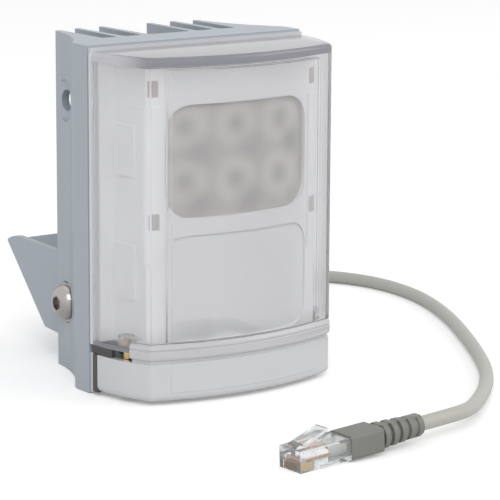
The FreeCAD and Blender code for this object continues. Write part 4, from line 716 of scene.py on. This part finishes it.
def frosted(name):
    """Frosted pane with painted light and shade: the optics behind it are painted as soft greenish spots
    with dark gaps of painted shade between them.

    Each optic has a pale ring of painted highlight, which is a wide spot less a narrower one, and a darker
    core of painted shade. The gaps lie at chosen places round the middle of all the optics.
    """
    material, tree, shader = new_material(name)
    place = object_place(tree)
    colour = mix_colour(tree, noise_node(tree, place, PANE_CLOUDS), tone(PANE_DARK), tone(PANE_PALE))
    centres = []
    for number in range(1, OPTIC_COUNT + 1):
        low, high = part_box(f"lens_optic_{number}")
        centres.append((low + high) / 2 + OPTIC_SHIFT)
    # Each optic: a pale ring of painted highlight and a darker core of painted shade
    for centre in centres:
        ring = math_node(tree, "SUBTRACT", soft_spot(tree, place, centre, RING_RADIUS),
                         soft_spot(tree, place, centre, RING_HOLE))
        colour = mix_colour(tree, math_node(tree, "MULTIPLY", ring, RING_SHARE), colour, tone(PAINTED_HIGHLIGHT_RING_TONE))
        core = math_node(tree, "MULTIPLY", soft_spot(tree, place, centre, CORE_RADIUS), CORE_SHARE)
        colour = mix_colour(tree, core, colour, tone(PAINTED_SHADE_CORE_TONE))
    middle = sum(centres, Vector()) / len(centres)
    # Painted shade in the gaps between the optics
    for across, up, radius, share in PAINTED_SHADE_GAPS:
        spot = soft_spot(tree, place, middle + Vector((across, 0.0, up)), radius)
        colour = mix_colour(tree, math_node(tree, "MULTIPLY", spot, share), colour, tone(PAINTED_SHADE_GAP_TONE))
    joined(tree, shader, {"Base Color": colour, "Roughness": 0.5})
    return material


# A coated finish gives its colour, roughness, depth of the clouds, scale of clouds and grain, and bump
POWDER = (0.392, 0.436, 0.482)
# Grey of painted shade along the clear cover's top edge and hem
PAINTED_SHADE_BAND = (0.29, 0.29, 0.325)
MATERIALS = {
    "housing": coated("powder_coat", POWDER, 0.42, 0.95, 25.0, 2600.0, 0.25),
    "bracket": coated("powder_coat_sheet", POWDER, 0.42, 0.95, 25.0, 2600.0, 0.25),
    "clear_moulding": clear("clear_moulding", (0.965, 0.965, 0.97), 0.03, 0.97),
    "milky_moulding": coated("milky_moulding", (0.60, 0.61, 0.62), 0.22, 0.97, 30.0, 900.0, 0.03, 0.5),
    "carrier": coated("white_carrier", (0.78, 0.785, 0.80), 0.45, 0.97, 30.0, 1800.0, 0.08),
    "frosted": frosted("frosted_pane"),
    "dark_rubber": coated("dark_rubber", (0.085, 0.080, 0.082), 0.6, 0.8, 80.0, 1500.0, 0.2),
    "thermal_sheet": coated("thermal_sheet", (0.28, 0.33, 0.38), 0.7, 0.9, 120.0, 2500.0, 0.3),
    "spreader": drawn("milled_aluminium", (0.72, 0.73, 0.74), 0.32, (0.02, 1.0, 1.0)),
    "white_board": board("white_board", (0.74, 0.75, 0.74), (0.60, 0.61, 0.60)),
    "green_board": board("green_board", (0.03, 0.14, 0.06), (0.05, 0.22, 0.09)),
    "optic": clear("clear_optic", (0.95, 0.96, 0.96), 0.03, 0.97),
    "emitter": coated("phosphor", (0.85, 0.70, 0.22), 0.5, 0.9, 900.0, 4000.0, 0.2),
    "steel": drawn("turned_stainless", (0.47, 0.445, 0.43), 0.26, (0.05, 1.0, 1.0)),
    "brass": drawn("turned_brass", (0.72, 0.48, 0.20), 0.25, (1.0, 1.0, 0.05)),
    "ferrite": coated("ferrite", (0.05, 0.05, 0.055), 0.55, 0.8, 300.0, 4000.0, 0.4),
    "winding": wound("taped_winding", (0.66, 0.50, 0.12), 300.0),
    "component": wound("sleeved_part", (0.05, 0.06, 0.12), 60.0),
    "terminal": coated("terminal_moulding", (0.05, 0.26, 0.09), 0.4, 0.9, 90.0, 2000.0, 0.1),
    "wire": coated("wire_sleeve", (0.60, 0.24, 0.07), 0.35, 0.9, 200.0, 3000.0, 0.1),
    "gland": drawn("plated_gland", (0.70, 0.68, 0.64), 0.22, (1.0, 0.05, 1.0)),
    "lead": coated("lead_jacket", (0.46, 0.455, 0.415), 0.42, 0.94, 60.0, 3000.0, 0.15),
    "boot": coated("boot_rubber", (0.205, 0.205, 0.182), 0.5, 0.9, 90.0, 2500.0, 0.25),
    "plug": clear("clear_plug", (0.93, 0.95, 0.96), 0.06, 0.92),
    "contact": drawn("gold_contact", (0.78, 0.52, 0.18), 0.25, (0.1, 1.0, 1.0)),
}
# Zones of the cover, all one clear moulding: the grey top, top band and hem are painted shade, the top band
# fading to paler painted shade towards both ends
COVER_FINISHES = {
    "field": MATERIALS["clear_moulding"],
    "flange": coated("milky_white", (0.66, 0.66, 0.685), 0.15, 0.97, 30.0, 900.0, 0.03, 0.6),
    "hem": clear("clear_edge_band", PAINTED_SHADE_BAND, 0.12, 0.25),
    "top": clear("clear_top", (0.50, 0.50, 0.53), 0.10, 0.45),
    "satin": clear("clear_satin", (0.95, 0.95, 0.96), 0.15, 0.93),
    "top_band": fade_aside(clear("clear_top_band", PAINTED_SHADE_BAND, 0.12, 0.25), (0.62, 0.62, 0.65), 0.0415, 0.0485),
}
MILKY_STRIP = coated("milky_strip", (0.55, 0.55, 0.57), 0.15, 0.97, 30.0, 900.0, 0.03, 0.6)
SLOT_FILMS = {
    "upper": coated("slot_film_warm", (0.42, 0.345, 0.335), 0.5, 0.9, 300.0, 2000.0, 0.1),
    "lower": coated("slot_film_grey", (0.40, 0.405, 0.385), 0.5, 0.9, 300.0, 2000.0, 0.1),
}
SLOT_OF = {row["node"]: row["material_slot"] for row in frame["record"]["subparts"]}
BODY_OF = {node: body for body, members in frame["record"]["behaviour"]["bodies"].items()
           for node in members}

for node, thing in frame["nodes"].items():
    thing.data.materials.clear()
    thing.data.materials.append(MATERIALS[SLOT_OF[node]])


# The free lead, from the gland's cap to the boot, in metres
LEAD_RADIUS = 0.00275
LEAD_ROUTE = [
    (0.0, 0.006622, 0.1),
    (0.0, 0.020622, 0.1),
    (0.003, 0.047, 0.0965),
    (0.011, 0.0665, 0.086),
    (0.024, 0.082, 0.066),
    (0.042, 0.0925, 0.042),
    (0.063, 0.0995, 0.021),
    (0.087, 0.1035, 0.007),
    (0.112, 0.1035, 0.0028),
    (0.135, 0.0985, 0.0028),
    (0.1525, 0.0845, 0.0028),
    (0.161, 0.0645, 0.0028),
    (0.1615, 0.0405, 0.0028),
    (0.155, 0.0145, 0.0028),
    (0.1425, -0.014, 0.0028),
    (0.1265, -0.043, 0.0028),
    (0.1105, -0.0698, 0.0028),
    (0.0942, -0.0944, 0.0028),
    (0.075, -0.1164, 0.003),
    (0.053, -0.1364, 0.0046),
    (0.0375, -0.1499, 0.0069),
]
PLUG_TIP = Vector((-0.05, -0.1577, -0.0004993))
PLUG_HEADING = math.radians(2.0)
PLUG_LIFT = math.radians(3.0)
PLUG_LENGTH = 0.023
BOOT_GRIP = 0.015
BOOT_RIBS = 0.021
BOOT_HEIGHT = 0.009
LEAD_STRAIGHT = 0.014
ALONG = Vector((math.cos(PLUG_HEADING) * math.cos(PLUG_LIFT), math.sin(PLUG_HEADING) * math.cos(PLUG_LIFT),
                math.sin(PLUG_LIFT)))
ASIDE = Vector((-math.sin(PLUG_HEADING), math.cos(PLUG_HEADING), 0.0))
UPWARDS = ALONG.cross(ASIDE)
BOOT_END = PLUG_TIP + ALONG * (PLUG_LENGTH + BOOT_GRIP + BOOT_RIBS) + UPWARDS * (BOOT_HEIGHT / 2)


def make_camera():
    """The camera stands where the photograph was taken from, and looks along its yaw, pitch and roll."""
    camera = in_scene("camera", bpy.data.cameras.new("camera"))
    camera.data.lens = LENS
    camera.data.sensor_width = SENSOR
    ahead = Vector((math.sin(YAW) * math.cos(PITCH), math.cos(YAW) * math.cos(PITCH), -math.sin(PITCH)))
    right = Vector((math.cos(YAW), -math.sin(YAW), 0.0))
    above = right.cross(ahead)
    rolled_right = math.cos(ROLL) * right + math.sin(ROLL) * above
    rolled_above = -math.sin(ROLL) * right + math.cos(ROLL) * above
    turned = Matrix((rolled_right, rolled_above, -ahead)).transposed().to_4x4()
    camera.matrix_world = Matrix.Translation(SEEN_FROM) @ turned
    bpy.context.scene.camera = camera


def make_lead():
    """The lead's jacket: a round section along one smooth curve through its route."""
    curve = bpy.data.curves.new("lead", "CURVE")
    curve.dimensions = "3D"
    curve.bevel_depth = LEAD_RADIUS
    curve.bevel_resolution = 6
    curve.resolution_u = 10
    spline = curve.splines.new("NURBS")
    route = LEAD_ROUTE + [tuple(BOOT_END + ALONG * LEAD_STRAIGHT), tuple(BOOT_END)]
    spline.points.add(len(route) - 1)
    spline.points.foreach_set("co", [value for point in route for value in (*point, 1.0)])
    spline.order_u = 3
    spline.use_endpoint_u = True
    curve.materials.append(MATERIALS["lead"])
    lead = in_scene("lead", curve)
    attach(lead, "housing")
    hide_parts("lead_cable")
    return lead


def zone(face):
    """Which of COVER_FINISHES a face of the cover takes, by where it lies and which way it looks; the top,
    top band and hem take grey tones of painted shade.
    """
    x, y, z = face.center
    if y > JOINT - FLANGE_DEPTH - HAIR:
        return "flange"
    if z > COVER_TOP - HAIR and face.normal.z > LOOKS_UP:
        return "top"
    if z > BAND_LOW and face.normal.z < LOOKS_UP:
        return "top_band"
    if z < HEM_TOP and abs(face.normal.x) > LOOKS_ASIDE:
        return "hem"
    return "satin" if abs(x) > FIELD_HALF or z > FIELD_TOP else "field"


def make_cover():
    """Clear cover: bowed shell, U-shaped flange, polished field and insert bosses, finished zone by zone,
    with painted shade on its top, top band and hem.
    """
    sine, cosine = quarter()
    step = STEP_WIDTH
    wall_rows = np.concatenate([
        [COVER_HEM, HEM_TOP, STRIP_HIGH.z], np.linspace(WALL_FIRST, WALL_LAST, WALL_ROWS),
        [FIELD_TOP - step, FIELD_TOP, FIELD_TOP + step, BAND_LOW, COVER_TOP - EDGE_ROUND]])
    outer = carried(np.concatenate([np.zeros(len(wall_rows)), EDGE_ROUND * (1 - cosine[1:])]),
                    np.concatenate([wall_rows, COVER_TOP - EDGE_ROUND + EDGE_ROUND * sine[1:]]), REVEAL)
    in_field = np.clip((FIELD_HALF - np.abs(outer[..., 0])) / step, 0, 1)
    in_field *= np.clip((FIELD_TOP - outer[..., 2]) / step, 0, 1)
    away = outer[..., :2] - np.array([0.0, BOW_CENTRE[1] + JOINT])
    away /= np.linalg.norm(away, axis=-1, keepdims=True)
    outer[..., :2] += away * (FIELD_PROUD * in_field)[..., None]
    inner_rows = np.minimum(wall_rows, COVER_TOP - WALL)[::-1]
    inner = carried(np.full(len(wall_rows), WALL), inner_rows, REVEAL, INNER_ROUND)
    rows = [to_back(outer[-1:], REVEAL), outer[::-1], inner[::-1], to_back(inner[:1], REVEAL)]
    points = np.concatenate(rows)
    at_strip = points[..., 1] < JOINT - STRIP_BACK
    points[..., 2] = np.where(at_strip, np.maximum(points[..., 2], STRIP_HIGH.z), points[..., 2])
    half, top = HALF - FLANGE_DROP, COVER_HIGH.z
    in_half, in_top = HALF - FLANGE_WIDTH, HOUSING_HIGH.z - FLANGE_WIDTH
    flange = frame_legs([(-half, COVER_HEM), (-half, top), (half, top), (half, COVER_HEM)],
                        [(-in_half, COVER_HEM), (-in_half, in_top), (in_half, in_top), (in_half, COVER_HEM)],
                        JOINT - FLANGE_DEPTH, JOINT)
    boss = [(BOSS_BORE, 0.0), (BOSS_RADIUS, 0.0), (BOSS_RADIUS, BOSS_HEIGHT), (0.0, BOSS_HEIGHT),
            (0.0, BOSS_HOLLOW), (BOSS_BORE, BOSS_HOLLOW)]
    bosses = [lathe(boss, (side * BOSS_SPREAD, JOINT - BOSS_DEPTH, COVER_HEM), (0.0, 0.0, 1.0))
              for side in (-1.0, 1.0)]
    zones = list(COVER_FINISHES)
    cover = new_piece("clear_cover", [ring_shell(points), flange] + bosses, COVER_FINISHES[zones[0]])
    for name in zones[1:]:
        cover.data.materials.append(COVER_FINISHES[name])
    for face in cover.data.polygons:
        face.material_index = zones.index(zone(face))
    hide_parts("front_cover")
    return soften(cover, MOULDED_EDGE)


def make_panel():
    """Milky lower panel with its rounded bottom edge, its flange, and a fine line round its blank front."""
    sine, cosine = quarter(9)
    rim, low = PANEL_HIGH.z, PANEL_BOTTOM
    step, line = STEP_WIDTH, PANEL_BOTTOM + PANEL_ROUND + LINE_ABOVE
    walls = [rim, line + step, line, line - step, low + PANEL_ROUND]
    insets = np.concatenate([np.zeros(len(walls)), PANEL_ROUND * (1 - cosine[1:])])
    heights = np.concatenate([walls, low + PANEL_ROUND - PANEL_ROUND * sine[1:]])
    outer = carried(insets, heights, PANEL_BACK)
    outside = np.clip((np.abs(outer[..., 0]) - FIELD_HALF) / step, 0, 1)
    outside = np.maximum(outside, np.clip((line - outer[..., 2]) / step, 0, 1))
    outside *= outer[..., 1] < bow_line(CORNER_HALF, 0.0) + LINE_REACH
    outer[..., 1] += LINE_SINK * outside
    root, tip = rim - TONGUE_ROOT, STRIP_LOW.z + TONGUE_RISE
    tongue = carried([TONGUE_INSET, TONGUE_INSET, WALL, WALL], [root, tip, tip, root],
                     STRIP_BACK, INNER_ROUND)
    inner = carried([WALL, WALL], [low + WALL, rim], PANEL_BACK, INNER_ROUND)
    points = np.concatenate([outer, to_back(outer[-1:], PANEL_BACK), to_back(inner[:1], PANEL_BACK), inner])
    half, in_half = HALF - FLANGE_DROP, HALF - FLANGE_WIDTH
    flange = frame_legs([(-half, rim), (-half, PANEL_LOW.z), (half, PANEL_LOW.z), (half, rim)],
                        [(-in_half, rim), (-in_half, FLANGE_WIDTH), (in_half, FLANGE_WIDTH), (in_half, rim)],
                        JOINT - FLANGE_DEPTH, JOINT)
    panel = new_piece("milky_lower_panel", [ring_shell(points), flange, ring_shell(tongue)],
                      MATERIALS["milky_moulding"], sharp=20.0)
    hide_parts("lower_panel")
    return soften(panel, MOULDED_EDGE)


def make_seal():
    """Dark seal: the two ends of a ring under the cover's hem, and a leg on each side behind the panel."""
    low, high = SEAL_LOW.z, SEAL_HIGH.z
    near, far = SEAL_INSET, SEAL_INSET + SEAL_WIDTH
    ring = carried([near, near, far, far], [low, high, high, low], REVEAL)
    count = int(np.count_nonzero(ring[0, :, 1] > JOINT - SEAL_END) / 2)
    parts = [ring_shell(ring[:, :count]), ring_shell(ring[:, -count:])]
    for side in (-1.0, 1.0):
        inner, outer = side * (HALF - LEG_INSET), side * (HALF - LEG_CLEAR)
        x = np.array([inner, inner, outer, outer])
        y = JOINT - np.array([PANEL_BACK, FLANGE_DEPTH, FLANGE_DEPTH, PANEL_BACK])
        rows = [np.stack([x, y, np.full(4, height)], -1) for height in (PANEL_BOTTOM, low)]
        parts.append(ring_shell(np.stack(rows, 1)))
    seal = new_piece("seal_with_legs", parts, MATERIALS["dark_rubber"])
    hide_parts("panel_seal")
    return soften(seal, FINE_EDGE)


def make_strip():
    """Rounded strip across the front, with a fine groove: its section is carried round the corners."""
    sine, cosine = quarter()
    low, high, proud = STRIP_LOW.z, STRIP_HIGH.z, -FIELD_PROUD
    back = STRIP_THICK - FIELD_PROUD
    groove = high - GROOVE_DROP
    insets = np.concatenate([[back], proud + EDGE_ROUND * (1 - sine), [proud, proud + GROOVE_DEPTH, proud],
                             proud + EDGE_ROUND * (1 - cosine), [back]])
    heights = np.concatenate([[low], low + EDGE_ROUND * (1 - cosine),
                              [groove - GROOVE_HALF, groove, groove + GROOVE_HALF],
                              high - EDGE_ROUND * (1 - sine), [high]])
    points = carried(insets, heights, STRIP_BACK)
    strip = new_piece("clear_strip", [ring_shell(points)], MILKY_STRIP)
    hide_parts("retaining_strip")
    return soften(strip, SHEET_EDGE)


def slot_outline(side, height):
    """Outline of one of the carrier's slots."""
    return rounded_outline(*SLOT_HALF, SLOT_ROUND, side * SLOT_SPREAD, height, SLOT_CORNER_STEPS)


def on_side(side, ahead, proud=0.0):
    """Plan point of the carrier's side: its width grows evenly from the front's edge back to the joint."""
    x = side * (CARRIER_HALF + (CARRIER_HIGH.x - CARRIER_HALF) * (CARRIER_REACH - ahead) / CARRIER_REACH)
    return x + side * proud, JOINT - ahead


def make_carrier():
    """White carrier: bent front with window, label field and slots, side walls, top, plates and wings."""
    face, wall = CARRIER_INSET, CARRIER_WALL
    low, high, half = CARRIER_LOW.z, CARRIER_HIGH.z, CARRIER_HALF
    window_x, window_z = PANE_HIGH.x - PANE_MARGIN, (PANE_HIGH.z - PANE_LOW.z) / 2 - PANE_MARGIN
    middle = (PANE_HIGH.z + PANE_LOW.z) / 2
    outer = np.array([(-half, low), (half, low), (half, high), (-half, high)])
    window = rounded_outline(window_x, window_z, WINDOW_ROUND, 0.0, middle, FIELD_CORNER_STEPS)
    label = rounded_outline(*LABEL_HALF, LABEL_ROUND, 0.0, LABEL_MIDDLE, FIELD_CORNER_STEPS)
    slots = [slot_outline(side, height) for side in (-1.0, 1.0) for height in SLOT_HEIGHTS]
    parts = [bent_plate([outer, window, label] + slots, face, wall),
             bent_plate([label], face + LABEL_SINK, wall - LABEL_SINK)]
    across = np.linspace(-half, half, TOP_STEPS)
    front, back = bow_line(across, face), np.full(TOP_STEPS, JOINT - TOP_DEPTH)
    section = ((front, high - wall), (front, high), (back, high), (back, high - wall))
    parts.append(ring_shell(np.stack([np.stack([across, line, np.full(TOP_STEPS, z)], -1)
                                      for line, z in section])))
    wing_y = JOINT - WING_DEPTH
    for side in (-1.0, 1.0):
        parts.append(standing_strip([on_side(side, CARRIER_REACH), on_side(side, 0.0)], wall, low, high))
        near = (side * PLATE_FROM, float(bow_line(PLATE_FROM, face - PLATE_PROUD)))
        bend = (on_side(side, CARRIER_REACH, PLATE_PROUD)[0], float(bow_line(half, face - PLATE_PROUD)))
        plate = rounded_path([near, bend, on_side(side, PLATE_DEPTH, PLATE_PROUD)], PLATE_ROUND)
        parts.append(standing_strip(plate, PLATE_PROUD + PLATE_ROOT, *PLATE_SPAN))
        pad = [on_side(side, depth, PAD_PROUD) for depth in PAD_DEPTHS]
        parts += [standing_strip(pad, PAD_THICK, *span) for span in PAD_SPANS]
        wing = [(side * (CARRIER_HIGH.x - WING_LAP), wing_y), (side * WING_REACH, wing_y)]
        parts.append(standing_strip(wing, WING_THICK, low, high - wall))
    wing = [(-WING_REACH, wing_y), (WING_REACH, wing_y)]
    parts.append(standing_strip(wing, WING_THICK, high - wall, WING_TOP))
    carrier = new_piece("carrier_moulding", parts, MATERIALS["carrier"])
    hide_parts("bezel")
    soften(carrier, CARRIER_EDGE)
    for word, height, depth in zip(("upper", "lower"), SLOT_HEIGHTS, (FILM_SINK, -PLATE_PROUD - FILM_PROUD)):
        films = [bent_plate([slot_outline(side, height)], face + depth, FILM_THICK) for side in (-1.0, 1.0)]
        new_piece(f"slot_film_{word}", films, SLOT_FILMS[word])


def make_lens():
    """Clear sheet close behind the polished field."""
    front = WALL + LENS_GAP
    sheet = bowed_sheet(FIELD_HALF, front, front + SHEET_THICK, LENS_LOW.z, LENS_HIGH.z)
    lens = new_piece("clear_lens", [sheet], MATERIALS["clear_moulding"])
    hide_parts("lens_insert")
    return soften(lens, SHEET_EDGE)


def make_pane():
    """Frosted pane behind the carrier's window."""
    front = BOW_REACH - (JOINT - PANE_LOW.y)
    sheet = bowed_sheet(PANE_HIGH.x, front, front + SHEET_THICK, PANE_LOW.z, PANE_HIGH.z)
    pane = new_piece("frosted_window", [sheet], MATERIALS["frosted"])
    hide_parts("window_diffuser")
    return soften(pane, SHEET_EDGE)


def refined(node, width=0.0, sharp=28.0, angle=35.0):
    """A merged copy of a solid's mesh, shaded smoothly over its curves, with its edges softened."""
    mesh = frame["nodes"][node].data.copy()
    work = bmesh.new()
    work.from_mesh(mesh)
    bmesh.ops.remove_doubles(work, verts=work.verts, dist=1e-6)
    bmesh.ops.dissolve_limit(work, angle_limit=math.radians(0.3), verts=work.verts, edges=work.edges)
    work.to_mesh(mesh)
    work.free()
    mesh.shade_smooth()
    mesh.set_sharp_from_angle(angle=math.radians(sharp))
    piece = in_scene(node + "_finish", mesh)
    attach(piece, BODY_OF[node])
    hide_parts(node)
    if width:
        soften(piece, width, angle=angle)
    return piece


def lamp(name, place, size, power):
    """A square soft lamp that faces the middle of the object."""
    light = bpy.data.lights.new(name, "AREA")
    light.size = size
    light.energy = power
    thing = in_scene(name, light)
    thing.location = place
    thing.rotation_euler = (LAMPS_AIM - Vector(place)).to_track_quat("-Z", "Y").to_euler()


def make_studio():
    """Pale floor, white background and soft lamps at a plain level.

    The floor glows a little for the camera alone. The room gives ROOM_LIGHT, and ROOM_SEEN more where it
    is seen directly, mirrored or through clear pieces.
    """
    reach = FLOOR_REACH
    ground = bpy.data.meshes.new("floor")
    ground.from_pydata([(-reach, -reach, 0), (reach, -reach, 0), (reach, reach, 0), (-reach, reach, 0)], [],
                       [(0, 1, 2, 3)])
    floor = in_scene("floor", ground)
    material, tree, shader = new_material("floor")
    seen = tree.nodes.new("ShaderNodeLightPath").outputs["Is Camera Ray"]
    joined(tree, shader, {
        "Base Color": (FLOOR_TONE, FLOOR_TONE, FLOOR_TONE, 1.0), "Roughness": 0.9, "Specular IOR Level": 0.1,
        "Emission Color": (1.0, 1.0, 1.0, 1.0),
        "Emission Strength": math_node(tree, "MULTIPLY", seen, FLOOR_GLOW)})
    ground.materials.append(material)
    world = bpy.data.worlds.new("studio")
    bpy.context.scene.world = world
    world.use_nodes = True
    tree = world.node_tree
    rays = tree.nodes.new("ShaderNodeLightPath").outputs
    direct = math_node(tree, "MAXIMUM", rays["Is Camera Ray"],
                       math_node(tree, "MAXIMUM", rays["Is Glossy Ray"], rays["Is Transmission Ray"]))
    strength = math_node(tree, "ADD", ROOM_LIGHT, math_node(tree, "MULTIPLY", direct, ROOM_SEEN))
    joined(tree, tree.nodes["Background"], {"Color": (1.0, 1.0, 1.0, 1.0), "Strength": strength})
    for values in LAMPS:
        lamp(*values)


make_camera()
lead = make_lead()
make_cover()
make_panel()
make_seal()
make_strip()
make_carrier()
make_lens()
make_pane()
for node in ("housing_extrusion", "u_bracket"):
    refined(node, SHEET_EDGE)
for node in ("pivot_screws", "pivot_washers", "plug_body", "gland_body", "gland_cap"):
    refined(node, FINE_EDGE)
boot = refined("plug_boot")
make_studio()
bpy.context.scene.view_settings.view_transform = "Standard"
